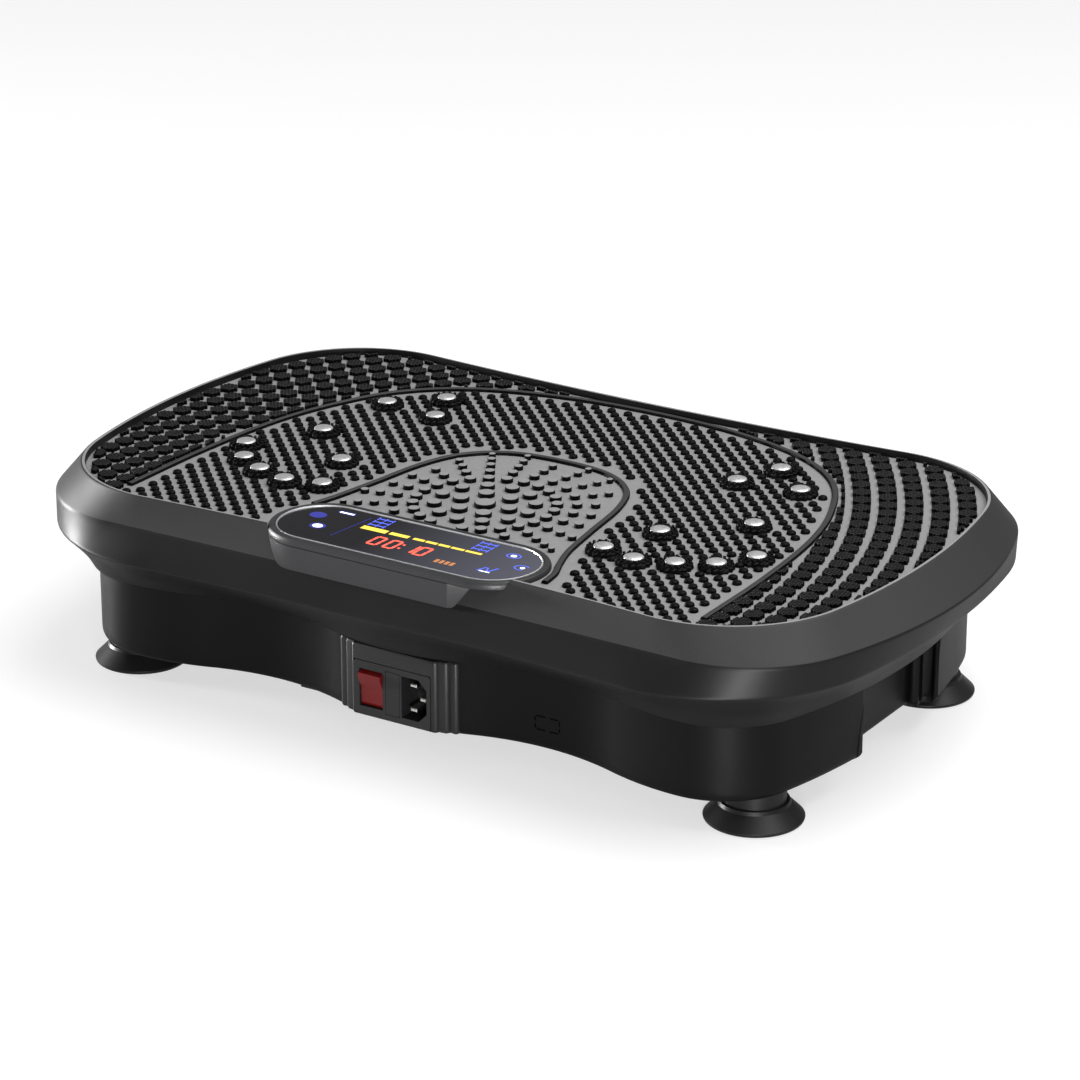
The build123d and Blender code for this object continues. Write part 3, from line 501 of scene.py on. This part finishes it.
def build_cover():
    """The platform's shell: rim, grained bevel, soft crease, dark band and wavy lip."""
    under = MAT_LOW - 3.0
    corners = [
        (RIM_REACH - RIM_WIDTH, RIM_Z, 0.5),
        (RIM_REACH, RIM_Z, 0.9),
        (CREASE_REACH, CREASE_Z, 1.3),
        (EDGE_REACH, EDGE_Z, 1.2),
        ((LIP_REACH + LIP_OUT) * 0.6 + EDGE_REACH * 0.4 - 2.2, LIP_Z + 9.0, 9.0),
        (LIP_REACH + LIP_OUT, LIP_Z, 0.6),
        (LIP_REACH + LIP_IN, LIP_Z, 0.5),
        (EDGE_REACH - SKIN, EDGE_Z, 2.0),
        (CREASE_REACH - SKIN, CREASE_Z, 2.0),
        (RIM_REACH - 1.0, under, 1.5),
        (RIM_REACH - 9.0, under, 0.5),
        (RIM_REACH - 9.0, MAT_LOW - 0.2, 0.5),
        (RIM_REACH - RIM_WIDTH, MAT_LOW - 0.2, 0.3),
    ]
    rings = rounded(corners)
    points, faces = lathe_outline(rings, ANGLES)
    around = len(ANGLES)
    slots = []
    for i in range(len(rings)):
        middle = (rings[i] + rings[(i + 1) % len(rings)]) / 2
        height = middle[0, 1]
        outside = middle[0, 0] > RIM_REACH[0] - RIM_WIDTH + 0.3
        # Slot 2 gives the rim's top faces the mat's grey: a painted highlight along the black rim.
        if height > RIM_Z - 0.02 and i < 12:
            kind = 2
        elif outside and height > CREASE_Z + 0.5 and i < 24:
            kind = 0
        else:
            kind = 1
        slots += [kind] * around
    cover = make_object("cover_shell", points, faces, [COVER_GRAIN, COVER_SMOOTH, MAT_GREY], "deck",
                        "cover_plastic", slots)
    for cutter in cutters:
        cut_with(cover, cutter)
    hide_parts("top_cover")


build_cover()


# =============================== base shell ===============================

BASE_LOW, BASE_HIGH = node_box("base_housing")
BASE_LENGTH_LOW = 232.8
BASE_LENGTH_TOP = 236.7
BASE_WALL = 3.5
RECESS_X = 219.0
RECESS_HALF = 34.0
RECESS_END = 44.2
COLUMN_DEEP = 1.5
BLOCK_FACE = -135.8
BLOCK_HALF = 27.5
BLOCK_HIGH_Z = 61.3
BLOCK_BACK = -121.0
KNOCK_OUT = (87.1, 34.4)
BASE_FOOT_R = 5.5
RECESS_MOUTH = 7.5


def recess_half(side):
    """Half of a recess wall in plan, from the middle of the end out past its two half-round columns."""
    half = [(RECESS_X, 0.0), (RECESS_X, 12.0), (RECESS_X, 24.0), (RECESS_X, 31.0)]
    half += arc((RECESS_X + 2.5, RECESS_HALF + 1.6), 3.1, radians(-125), radians(40), 12)
    half += [(RECESS_X + x, RECESS_HALF + y) for x, y in ((4.3, 5.0), (4.6, 7.4), (6.6, 8.6))]
    half += arc((RECESS_X + 11.3, RECESS_HALF + 9.9), 2.1, radians(-155), radians(-20), 10)
    return [(x, side * y) for x, y in half]


def foot_lift(x):
    """Height of the base's rounded foot at the mouth of a recess."""
    past = min(max(x - (RECESS_X + RECESS_MOUTH), 0.0), BASE_FOOT_R - 0.1)
    return BASE_FOOT_R - sqrt(BASE_FOOT_R ** 2 - past ** 2)


def ribbon(path, shape, closed=False):
    """A form swept along a plan path; the shape is (distance to the left of the path, height)."""
    path = np.array(path)
    if closed:
        along = np.roll(path, -1, axis=0) - np.roll(path, 1, axis=0)
    else:
        along = np.gradient(path, axis=0)
    along /= np.linalg.norm(along, axis=1, keepdims=True)
    left = np.stack((-along[:, 1], along[:, 0]), axis=1)
    points = [(x + u * w, y + v * w, z) for (x, y), (u, v) in zip(path, left) for w, z in shape]
    faces = band_faces(len(path), len(shape), closed)
    if not closed:
        last = (len(path) - 1) * len(shape)
        faces += [tuple(range(len(shape)))[::-1], tuple(range(last, last + len(shape)))]
    return points, faces


def block_outline():
    """Plan of the inlet block: a flat face between two stepped half-round columns on each side."""
    right = arc((BLOCK_HALF - 2.4, BLOCK_FACE + 2.4), 2.4, radians(-90), radians(-8), 8)
    right += arc((30.4, -130.9), 2.5, radians(-80), radians(-5), 8)
    right += arc((35.4, -129.2), 2.3, radians(-85), radians(10), 8)
    right.append((37.9, BLOCK_BACK))
    return [(-x, y) for x, y in right[::-1]] + right


def boxes(sizes):
    """Several boxes in one piece, each given as (x, x, y, y, z, z)."""
    points, faces = [], []
    for x0, x1, y0, y1, z0, z1 in sizes:
        start = len(points)
        made, sides = prism([(x0, y0), (x1, y0), (x1, y1), (x0, y1)], z0, z1)
        points += made
        faces += [tuple(v + start for v in side) for side in sides]
    return points, faces


def cut_boxes(piece, sizes):
    """Cut boxes out of a piece."""
    cutter = make_object("cutter", *boxes(sizes), [], None, None)
    cut_with(piece, cutter)
    bpy.data.objects.remove(cutter)


def knock_out_dashes():
    """Boxes for the dashed outline of the knock-out panel beside the inlet."""
    dashes = []
    for i in (-1, 1):
        for j in (-1, 1):
            x, z = KNOCK_OUT[0] + 4 * i, KNOCK_OUT[1] + 3.8 * j
            dashes.append((x - 2.7, x + 2.7, -125.0, -119.6, z - 0.4, z + 0.4))
            x, z = KNOCK_OUT[0] + 7.5 * i, KNOCK_OUT[1] + 2 * j
            dashes.append((x - 0.4, x + 0.4, -126.0, -119.6, z - 1.3, z + 1.3))
    return dashes


def build_recess(shell, finish, side, name):
    """Open the shell at one end, and close the opening with a wall that has two half-round columns."""
    low_z, high_z = BASE_LOW.z, BASE_HIGH.z
    path = recess_half(-1)[::-1] + recess_half(1)[1:]
    path = [(side * x, side * y) for x, y in path]
    opening = [(side * 250, side * -RECESS_END), (side * (RECESS_X + 13.5), side * -RECESS_END)]
    opening += path + [(side * (RECESS_X + 13.5), side * RECESS_END), (side * 250, side * RECESS_END)]
    cutter = make_object("cutter", *prism(opening, low_z - 5, high_z + 5), [], None, None)
    cut_with(shell, cutter)
    bpy.data.objects.remove(cutter)
    wall = [(0.0, high_z - 0.5), (0.0, low_z + 3.4), (0.25, low_z + 2.0), (0.8, low_z + 0.9),
            (1.3, low_z + 0.4), (COLUMN_DEEP + 0.6, low_z + 0.2), (COLUMN_DEEP + 0.6, high_z - 0.5)]
    points, faces = ribbon(path, wall)
    points = [(x, y, max(z, low_z + foot_lift(abs(x)))) for x, y, z in points]
    face_outwards(make_object(f"recess_wall_{name}", points, faces, [finish], "base", "base_plastic"))


def build_inlet_block(hole):
    """The block round the mains inlet: a stack of outlines, eased at its foot and head."""
    low, high = BASE_LOW.z + 0.6, BLOCK_HIGH_Z
    skin = [(1.5, low), (0.7, low + 0.3), (0.2, low + 1.0), (0.0, low + 2.2), (0.0, high - 1.6),
            (0.2, high - 0.8), (0.6, high - 0.2), (1.3, high)]
    outline = block_outline()
    points = ribbon(outline, skin)[0]
    points = [points[i * len(skin) + level] for level in range(len(skin)) for i in range(len(outline))]
    around, last = len(outline), (len(skin) - 1) * len(outline)
    faces = band_faces(len(skin), around) + [tuple(range(around))[::-1], tuple(range(last, last + around))]
    finish = CAD_FINISH["module_plastic"]
    block = make_object("inlet_block", points, faces, [finish], "base", "base_plastic")
    cut_boxes(block, hole)


def build_base():
    """The base's shell: wavy wall with a rounded foot, a recess in each end and the inlet block."""
    angles = even_angles(waved_quarter(BASE_LENGTH_LOW), 720)
    low = reach(waved_quarter(BASE_LENGTH_LOW), angles)
    top = reach(waved_quarter(BASE_LENGTH_TOP), angles)
    low_z, high_z = BASE_LOW.z, BASE_HIGH.z
    rings = rounded([
        (top, high_z, 0.4), (low, low_z, BASE_FOOT_R),
        (low - 8.0, low_z, 0.5), (low - 8.0, low_z + 1.2, 0.5),
        (low - BASE_WALL, low_z + 7.0, 1.0), (top - BASE_WALL, high_z, 0.4),
    ], 7)
    finish = CAD_FINISH["base_plastic"]
    shell = make_object("base_shell", *lathe_outline(rings, angles), [finish], "base", "base_plastic")
    build_recess(shell, finish, 1, "right")
    build_recess(shell, finish, -1, "left")
    cut_boxes(shell, knock_out_dashes())
    module_low, module_high = node_box("inlet_module")
    hole = [(module_low.x - 0.3, module_high.x + 0.3, -150.0, -100.0,
             module_low.z - 0.3, module_high.z + 0.3)]
    cut_boxes(shell, hole)
    build_inlet_block(hole)
    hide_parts("base_housing")


build_base()


# =============================== mat, arches and nubs ===============================

def sweep_rib(path):
    """A rounded rib that follows a path on the mat."""
    half = RIB_WIDE / 2
    shape = [(-half, -0.1), (-half, 1.1), (-half + 0.35, 1.7), (-half + 0.9, RIB_TALL),
             (half - 0.9, RIB_TALL), (half - 0.35, 1.7), (half, 1.1), (half, -0.1)]
    along = np.gradient(path, axis=0)
    along /= np.linalg.norm(along, axis=1, keepdims=True)
    normal = np.stack((-along[:, 1], along[:, 0]), axis=1)
    points = []
    for here, out in zip(path, normal):
        points += [(here[0] + out[0] * w, here[1] + out[1] * w, MAT_TOP + h) for w, h in shape]
    faces = band_faces(len(path), len(shape))
    last = (len(path) - 1) * len(shape)
    faces += [tuple(range(len(shape)))[::-1], tuple(range(last, last + len(shape)))]
    return points, faces


def turned(profile, around):
    """A small turned form standing on Z = 0, from (radius, height) pairs that end on the axis."""
    points = []
    for radius, height in profile[:-1]:
        points += [(radius * cos(a), radius * sin(a), height) for a in np.arange(around) * 2 * pi / around]
    points.append((0.0, 0.0, profile[-1][1]))
    rings = len(profile) - 1
    faces = band_faces(rings, around)
    top, last = rings * around, (rings - 1) * around
    faces += [(last + j, last + (j + 1) % around, top) for j in range(around)]
    return np.array(points), faces


def stamp(form, places, sizes=None):
    """Copies of a small form at many (x, y) places on the mat, each scaled in plan."""
    points, faces = form
    count = len(points)
    made, made_faces = [], []
    for i, (x, y) in enumerate(places):
        size = 1.0 if sizes is None else sizes[i]
        made.append(points * (size, size, 1.0) + (x, y, MAT_TOP - 0.05))
        made_faces += [tuple(v + i * count for v in face) for face in faces]
    return np.vstack(made), made_faces


outer_path = smooth_path(both_sides(ARCH_OUTER))
inner_path = smooth_path(ARCH_INNER)


def inside_arch(places, path):
    """Whether each place lies under an arch."""
    half = path[path[:, 0] >= 0]
    half = half[np.argsort(half[:, 1])]
    return np.abs(places[:, 0]) < np.interp(places[:, 1], half[:, 1], half[:, 0], right=-1.0)


def inside_rim(places, margin):
    """Whether each place lies inside the rim, with room to spare."""
    turn = np.arctan2(places[:, 1], places[:, 0])
    limit = reach(waisted_quarter(RIM, -RIM_WIDTH - margin), turn)
    return np.hypot(places[:, 0], places[:, 1]) < limit


def clear_of_console(places, margin):
    """Whether each place lies clear of the console."""
    along = np.clip(places[:, 0], CONSOLE_X - CONSOLE_REACH, CONSOLE_X + CONSOLE_REACH)
    gap = np.hypot(places[:, 0] - along, places[:, 1] - CONSOLE_Y)
    return gap > CONSOLE_HALF[1] + margin


def disc_places():
    """Centres of the discs, found from the caps of the CAD model."""
    centres = []
    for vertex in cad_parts["disc_caps"].data.vertices:
        here = vertex.co.xy / MM
        group = next((g for g in centres if (g[0] / g[1] - here).length < 7.0), None)
        if group is None:
            centres.append([here.copy(), 1])
        else:
            group[0] += here
            group[1] += 1
    return np.array([tuple(total / count) for total, count in centres])


DISCS = disc_places()


def clear_of_discs(places, margin):
    """Whether each place lies clear of the discs."""
    return away_from(places, DISCS) > margin


def build_mat():
    """The mat's sheet, with the rounded arches that divide its zones."""
    angles = even_angles(waisted_quarter(RIM), 400)
    far = reach(waisted_quarter(RIM, -RIM_WIDTH + 0.05), angles)
    outline = list(zip(far * np.cos(angles), far * np.sin(angles)))
    sheet = make_object("mat_sheet", *prism(outline, MAT_LOW, MAT_TOP), [MAT_GREY], "deck", "mat_rubber")
    cut_with(sheet, cutters[-1])
    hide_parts("standing_mat")
    for name, path in (("mat_arch_outer", outer_path), ("mat_arch_inner", inner_path)):
        points, faces = sweep_rib(path)
        # The crown faces get the lighter rubber as a painted highlight; the sides stay black.
        slots = [1 if j in RIB_CROWN else 0 for j in range(8)] * (len(path) - 1) + [0, 0]
        make_object(name, points, faces, [NUB_BLACK, NUB_PAINTED_HIGHLIGHT], "deck", "mat_rubber", slots, sharp=50)


build_mat()

# ---- lattice of beads between the arches ----
BEAD_PITCH = 11.08
BEAD_R = 2.6
BEAD_TALL = 2.2


def bead_places():
    """A square lattice with a bead in the middle of each cell."""
    steps = np.arange(-20, 21) * BEAD_PITCH
    x, y = np.meshgrid(steps, steps)
    corners = np.stack((x.ravel(), y.ravel()), axis=1)
    places = np.vstack((corners, corners + BEAD_PITCH / 2))
    keep = inside_arch(places, outer_path) & ~inside_arch(places, inner_path)
    keep &= (away_from(places, outer_path) > 5.5) & (away_from(places, inner_path) > 7.5)
    keep &= inside_rim(places, 4.5) & clear_of_console(places, 4.0) & clear_of_discs(places, 11.0)
    return places[keep]


bead = turned([(BEAD_R, 0), (BEAD_R, 0.9), (BEAD_R * 0.9, 1.6), (BEAD_R * 0.62, 2.05), (0, BEAD_TALL)], 12)
make_object("mat_beads", *stamp(bead, bead_places()), [NUB_BLACK], "deck", "mat_rubber", sharp=50)

# ---- rings of studs round the middle ----
STUD_CENTRE = (0.0, -46.0)
STUD_RINGS = ((15.5, 6, 4.6), (27.5, 12, 4.1), (39.2, 24, 3.4), (50.0, 24, 2.9), (60.0, 24, 2.6),
              (69.0, 24, 2.4), (77.0, 24, 1.9))
STUD_TALL = 2.5


def build_studs():
    """Flat-topped studs in rings, from a wide one in the middle to small ones outside."""
    places, sizes = [STUD_CENTRE], [5.9]
    for radius, count, size in STUD_RINGS:
        for i in range(count):
            turn = 2 * pi * i / count
            places.append((STUD_CENTRE[0] + radius * cos(turn), STUD_CENTRE[1] + radius * sin(turn)))
            sizes.append(size)
    places, sizes = np.array(places), np.array(sizes)
    keep = inside_arch(places, inner_path) & (away_from(places, inner_path) > sizes + 2.2)
    keep &= clear_of_console(places, 3.6)
    stud = turned([(1, 0), (1, STUD_TALL - 0.35), (0.92, STUD_TALL), (0, STUD_TALL - 0.1)], 20)
    points, faces = stamp(stud, places[keep], sizes[keep])
    # Grey tops over black sides stand in for lit tops and shaded sides: painted light and shade on the
    # studs.
    slots = [1 if len(face) == 3 else 0 for face in faces]
    make_object("mat_studs", points, faces, [NUB_BLACK, MAT_GREY], "deck", "mat_rubber", slots)


build_studs()

# ---- rosettes of pins in curved bands at each end ----
BAND_START = 198.4
BAND_PITCH = 14.8
BAND_FAN = 0.0011
BAND_LEAN = -0.3145
BAND_BEND = -0.001545
ROSETTE_STEP = 12.1
PIN_PITCH = 2.25
PIN_R = 1.14
PIN_TALL = 2.6
PIN_SIDES = 8


def band_x(y, k):
    """X of band k at height y along the mat."""
    return BAND_START + BAND_LEAN * y + BAND_BEND * y * y + BAND_PITCH * k * (1 + BAND_FAN * y)


def rosette_offsets(turn):
    """A pin in the middle with two rings of pins round it."""
    made = [(0.0, 0.0)]
    for i in range(6):
        a = turn + i * pi / 3
        made.append((PIN_PITCH * cos(a), PIN_PITCH * sin(a)))
        made.append((2 * PIN_PITCH * cos(a), 2 * PIN_PITCH * sin(a)))
        made.append((sqrt(3) * PIN_PITCH * cos(a + pi / 6), sqrt(3) * PIN_PITCH * sin(a + pi / 6)))
    return made


def pin_places():
    """Pins of the right-hand bands, mirrored to the left."""
    y = np.linspace(-140, 145, 1500)
    right = []
    for k in range(-8, 9):
        x = band_x(y, k)
        travel = np.concatenate(([0], np.cumsum(np.hypot(np.diff(x), np.diff(y)))))
        travel -= np.interp(0, y, travel)
        for s in np.arange(-12, 14) * ROSETTE_STEP:
            if travel[0] < s < travel[-1]:
                here = np.interp(s, travel, y)
                lean = atan2(1.0, BAND_LEAN + 2 * BAND_BEND * here)
                right += [(band_x(here, k) + u, here + v) for u, v in rosette_offsets(lean)]
    places = np.array(right)
    keep = ~inside_arch(places, outer_path) & (away_from(places, outer_path) > 3.6)
    keep &= inside_rim(places, 3.0) & (places[:, 0] > 0)
    places = places[keep]
    return np.vstack((places, places * (-1, 1)))


pin = turned([(PIN_R, 0), (PIN_R, PIN_TALL - 0.15), (PIN_R * 0.86, PIN_TALL), (PIN_R * 0.5, PIN_TALL - 0.1),
              (0, PIN_TALL - 0.6)], PIN_SIDES)
pin_points, pin_faces = stamp(pin, pin_places())
# The thin top rim of each pin gets the lighter rubber as a painted highlight.
pin_rim_highlight_slots = [1 if i % len(pin[1]) // PIN_SIDES == 1 else 0 for i in range(len(pin_faces))]
make_object("mat_pins", pin_points, pin_faces, [NUB_BLACK, NUB_PAINTED_HIGHLIGHT],
            "deck", "mat_rubber", pin_rim_highlight_slots, sharp=60)

# ---- discs ----
DISC_BODY_R = 9.2
DISC_BODY_TALL = 2.9
LOBES = 16


def build_discs():
    """Scalloped discs with two rings of little studs round a silver lens."""
    around = LOBES * 6
    turn = np.arange(around) * 2 * pi / around
    wave = 0.55 * np.cos(LOBES * turn)
    points = []
    steps = ((DISC_BODY_R, 0, 1), (DISC_BODY_R + 0.3, 1.0, 1), (DISC_BODY_R + 0.1, 2.4, 1),
             (DISC_BODY_R - 0.6, DISC_BODY_TALL, 0.7), (4.6, DISC_BODY_TALL + 0.2, 0))
    for radius, height, share in steps:
        far = radius + wave * share
        points += zip(far * np.cos(turn), far * np.sin(turn), np.full(around, height))
    last = (len(steps) - 1) * around
    faces = band_faces(len(steps), around) + [tuple(range(last, last + around))]
    stud = turned([(0.85, 0), (0.85, 1.2), (0.62, 1.45), (0.3, 1.35), (0, 1.1)], 8)
    studs = []
    for radius, count, shift in ((8.4, LOBES, 0.0), (6.7, LOBES, 0.5)):
        studs += [(radius * cos(2 * pi * (i + shift) / count), radius * sin(2 * pi * (i + shift) / count))
                  for i in range(count)]
    stud_points, stud_faces = stamp(stud, studs)
    stud_points = stud_points - (0, 0, MAT_TOP - DISC_BODY_TALL)
    start = len(points)
    form = (np.vstack((np.array(points), stud_points)),
            faces + [tuple(v + start for v in face) for face in stud_faces])
    body = make_object("mat_discs", *stamp(form, DISCS), [DISC_BLACK], "deck", "disc_plastic", sharp=40)
    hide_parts("magnet_discs")
    lens = turned([(4.9, 2.9), (5.4, 3.4), (5.5, 3.8), (5.3, 4.25), (4.6, 4.6), (3.4, 4.85),
                   (2.0, 5.0), (0, 5.05)], 32)
    caps = make_object("disc_lenses", *stamp(lens, DISCS), [CAP_SILVER], "deck", "silver_cap", sharp=60)
    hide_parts("disc_caps")


build_discs()


# =============================== console ===============================

def build_console():
    """Pod with a rounded flange, a thin bright ring set into it, and the well for the display."""
    top = SHELL_HIGH.z
    rings = [(body_ring(-0.5), POD_LOW_Z), (body_ring(-0.1), POD_LOW_Z + 1.2),
             (body_ring(-0.1), top - FLANGE_TALL)]
    rings += [(shell_ring(grow), top + z) for grow, z in (
        (-0.5, -FLANGE_TALL + 0.05), (-0.05, -FLANGE_TALL + 0.7), (0.0, -2.6), (-0.25, -1.5), (-0.9, -0.6),
        (-1.9, -0.1), (-3.0, 0.0), (-3.8, -0.3), (-4.25, -1.1), (-4.3, -2.6))]
    points = [(x, y, z) for outline, z in rings for x, y in outline]
    around = len(rings[0][0])
    last = (len(rings) - 1) * around
    faces = band_faces(len(rings), around) + [tuple(range(last, last + around)), tuple(range(around))[::-1]]
    pod = make_object("console_pod", points, faces, [POD_GREY], "deck", "console_plastic", sharp=24)
    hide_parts("console_housing")
    shape = [(-4.2, -2.0), (-4.3, -0.7), (-4.5, -0.2), (-4.9, -0.1), (-5.2, -0.5), (-5.3, -2.0)]
    points = [(x, y, top + z) for grow, z in shape for x, y in stadium(grow)]
    faces = band_faces(len(shape), len(stadium()), True)
    bezel = make_object("console_bezel", points, faces, [RING_SILVER], "deck", "silver_ring", sharp=40)
    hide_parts("console_ring")


build_console()

# ---- lit graphics, just above the display window ----
LIT_Z = GLASS_TOP + 0.06


def flat_piece(name, shapes, material):
    """A piece made of thin flat shapes, each a list of (x, y) corners."""
    points, faces = [], []
    for shape in shapes:
        start = len(points)
        points += [(x, y, LIT_Z) for x, y in shape]
        faces.append(tuple(range(start, start + len(shape))))
    make_object(name, points, faces, [material], "deck", "dark_glass")


def bar(x, y, wide, deep, slant=0.0):
    """A rectangle about its centre, slanted sideways."""
    w, d = wide / 2, deep / 2
    lean = slant * d
    return [(x - w - lean, y - d), (x + w - lean, y - d), (x + w + lean, y + d), (x - w + lean, y + d)]


def oval(x, y, wide, deep, count=24):
    """A flat oval about its centre."""
    return [(x + wide / 2 * cos(a), y + deep / 2 * sin(a)) for a in np.arange(count) * 2 * pi / count]


def hoop(x, y, wide, deep, line, start=0.0, end=2 * pi, count=20):
    """A ring, or part of one, as a row of quads."""
    made = []
    turns = np.linspace(start, end, count + 1)
    for a, b in zip(turns, turns[1:]):
        quad = [(wide / 2, a), (wide / 2, b), (wide / 2 - line, b), (wide / 2 - line, a)]
        made.append([(x + r * cos(t), y + r * deep / wide * sin(t)) for r, t in quad])
    return made


SEGMENTS = {"0": "abcdef", "1": "bc"}
SEGMENT_BARS = {
    "a": (0.0, 1.0, True), "b": (1.0, 0.5, False), "c": (1.0, -0.5, False), "d": (0.0, -1.0, True),
    "e": (-1.0, -0.5, False), "f": (-1.0, 0.5, False), "g": (0.0, 0.0, True),
}


def digit(x, y, figure, wide=7.0, deep=12.5, line=1.5, slant=0.06):
    """A seven-segment figure about its centre."""
    made = []
    for segment in SEGMENTS[figure]:
        u, v, across = SEGMENT_BARS[segment]
        sx, sy = x + u * (wide - line) / 2 + v * slant * deep / 2, y + v * (deep - line) / 2
        size = (wide - line * 1.2, line) if across else (line, deep / 2 - line * 0.9)
        made.append(bar(sx, sy, *size, slant))
    return made


CLOCK_Y, LEVEL_Y, LABEL_Y, CHIP_Y = -125.0, -112, -132, -102


def build_graphics():
    """Clock, level bar, icons and touch points of the display."""
    clock = []
    for x, figure in ((-16.5, "0"), (-6.5, "0"), (5.0, "1"), (12.5, "0")):
        clock += digit(x, CLOCK_Y, figure)
    clock += [bar(-0.8, -122.5, 1.5, 1.5), bar(-0.8, -127.8, 1.5, 1.5)]
    flat_piece("display_clock", clock, LIT_RED)
    level = [bar(x, LEVEL_Y, wide, deep) for x, wide, deep in (
        (-27, 16, 4.5), (-11, 12, 3.5), (1.5, 7, 2.6), (9.5, 7, 2.6),
        (17.5, 7, 2.5), (26, 8, 2.3), (36, 10, 2.2))]
    flat_piece("display_level", level, LIT_YELLOW)
    flat_piece("display_label", [bar(26 + 3.2 * i, LABEL_Y, 2.2, 4.4) for i in range(4)], LIT_ORANGE)
    chips = []
    for cx in (-29.3, 36.5):
        for row in range(3):
            y = CHIP_Y + 4.6 * (row - 1)
            chips += [bar(cx - 2.6 + 5.2 * col, y, 4.2, 1.1) for col in range(2)]
            chips += [bar(cx - 4.7 + 4.7 * col, y, 0.8, 3.6) for col in range(3)]
    chips += hoop(56.5, -105, 9.0, 6.5, 0.9) + hoop(69, -117, 9.0, 7.0, 0.9, 0.6, 5.2)
    chips += [bar(52.0, -129.0, 1.1, 6.0, 0.4), bar(55.2, -128.5, 1.1, 5.0, -0.4),
              bar(58.2, -127.5, 1.1, 6.5, 0.4)]
    flat_piece("display_icons", chips, LIT_BLUE)
    cores = [oval(56.5, -105, 3.6, 2.8), oval(69.5, -117, 2.6, 2.6), bar(55.2, -131.6, 6.4, 0.9),
             bar(-53, -100, 9, 1.6, 0.2), oval(-56, -123.4, 6.0, 5.0)]
    flat_piece("display_icon_cores", cores, LIT_WHITE)
    touch = hoop(-56, -123.4, 9.5, 8.0, 1.7) + [oval(-65, -110, 10, 8.5), bar(-40, -115.5, 0.5, 33, 0.12)]
    touch += hoop(-53, -100, 11.5, 4.4, 0.9)
    flat_piece("display_touch_points", touch, LIT_DIM)


build_graphics()
for cutter in cutters:
    bpy.data.objects.remove(cutter)

# =============================== studio ===============================

CAMERA_AZIMUTH = radians(32.35)
CAMERA_ELEVATION = radians(21.19)
CAMERA_AT = Vector((1.0969, -1.7221, 0.8720))
CAMERA_LENS = 131.79
FLOOR_SIZE = 30.0
FLOOR_SEEN = 0.62
FLOOR_MIRRORED = 0.20
SURROUNDINGS = 0.26


def build_camera():
    """The camera, at the angle from which the object is presented."""
    data = bpy.data.cameras.new("view")
    data.lens = CAMERA_LENS
    data.sensor_width = 36.0
    data.clip_end = 50.0
    camera = bpy.data.objects.new("view", data)
    flat = cos(CAMERA_ELEVATION)
    looking = -Vector((sin(CAMERA_AZIMUTH) * flat, -cos(CAMERA_AZIMUTH) * flat, sin(CAMERA_ELEVATION)))
    camera.location = CAMERA_AT
    camera.rotation_euler = looking.to_track_quat("-Z", "Y").to_euler()
    bpy.context.scene.collection.objects.link(camera)
    bpy.context.scene.camera = camera


def soft_light(name, at, aim, wide, tall, power, colour=(1.0, 1.0, 1.0)):
    """A rectangular soft light that faces a point."""
    data = bpy.data.lights.new(name, "AREA")
    data.shape = "RECTANGLE"
    data.size = wide
    data.size_y = tall
    data.energy = power
    data.color = colour
    light = bpy.data.objects.new(name, data)
    light.location = at
    light.rotation_euler = (Vector(aim) - Vector(at)).to_track_quat("-Z", "Y").to_euler()
    bpy.context.scene.collection.objects.link(light)


def floor_material():
    """Pale studio floor: bright to the eye, dimmer in reflections, with a soft sheen and soft shadows."""
    material, shader = principled("studio_floor", (0.42, 0.42, 0.42), 0.42, specular=0.35)
    tree = material.node_tree
    sight = tree.nodes.new("ShaderNodeLightPath")
    level = tree.nodes.new("ShaderNodeMapRange")
    level.inputs["To Min"].default_value = FLOOR_MIRRORED
    level.inputs["To Max"].default_value = FLOOR_SEEN
    tree.links.new(sight.outputs["Is Camera Ray"], level.inputs["Value"])
    shader.inputs["Emission Color"].default_value = (1.0, 1.0, 1.0, 1.0)
    tree.links.new(level.outputs["Result"], shader.inputs["Emission Strength"])
    return material


def build_studio():
    """Plain pale floor, even surroundings and large soft lights."""
    bpy.ops.mesh.primitive_plane_add(size=FLOOR_SIZE)
    floor = bpy.context.object
    floor.name = "studio_floor"
    floor.data.materials.append(floor_material())
    world = bpy.data.worlds.new("surroundings")
    world.use_nodes = True
    background = world.node_tree.nodes["Background"]
    background.inputs["Color"].default_value = (1.0, 1.0, 1.0, 1.0)
    background.inputs["Strength"].default_value = SURROUNDINGS
    bpy.context.scene.world = world
    soft_light("top_light", (0.70, 0.25, 1.9), (0, 0, 0), 2.0, 1.6, 48)
    soft_light("front_light", (0.97, -1.34, 0.15), (0.1, 0, 0.05), 0.26, 0.26, 24)
    soft_light("left_light", (-2.0, -0.35, 0.18), (-0.2, 0, 0.05), 0.3, 0.3, 58)
    bpy.context.scene.view_settings.view_transform = "Standard"


build_camera()
build_studio()
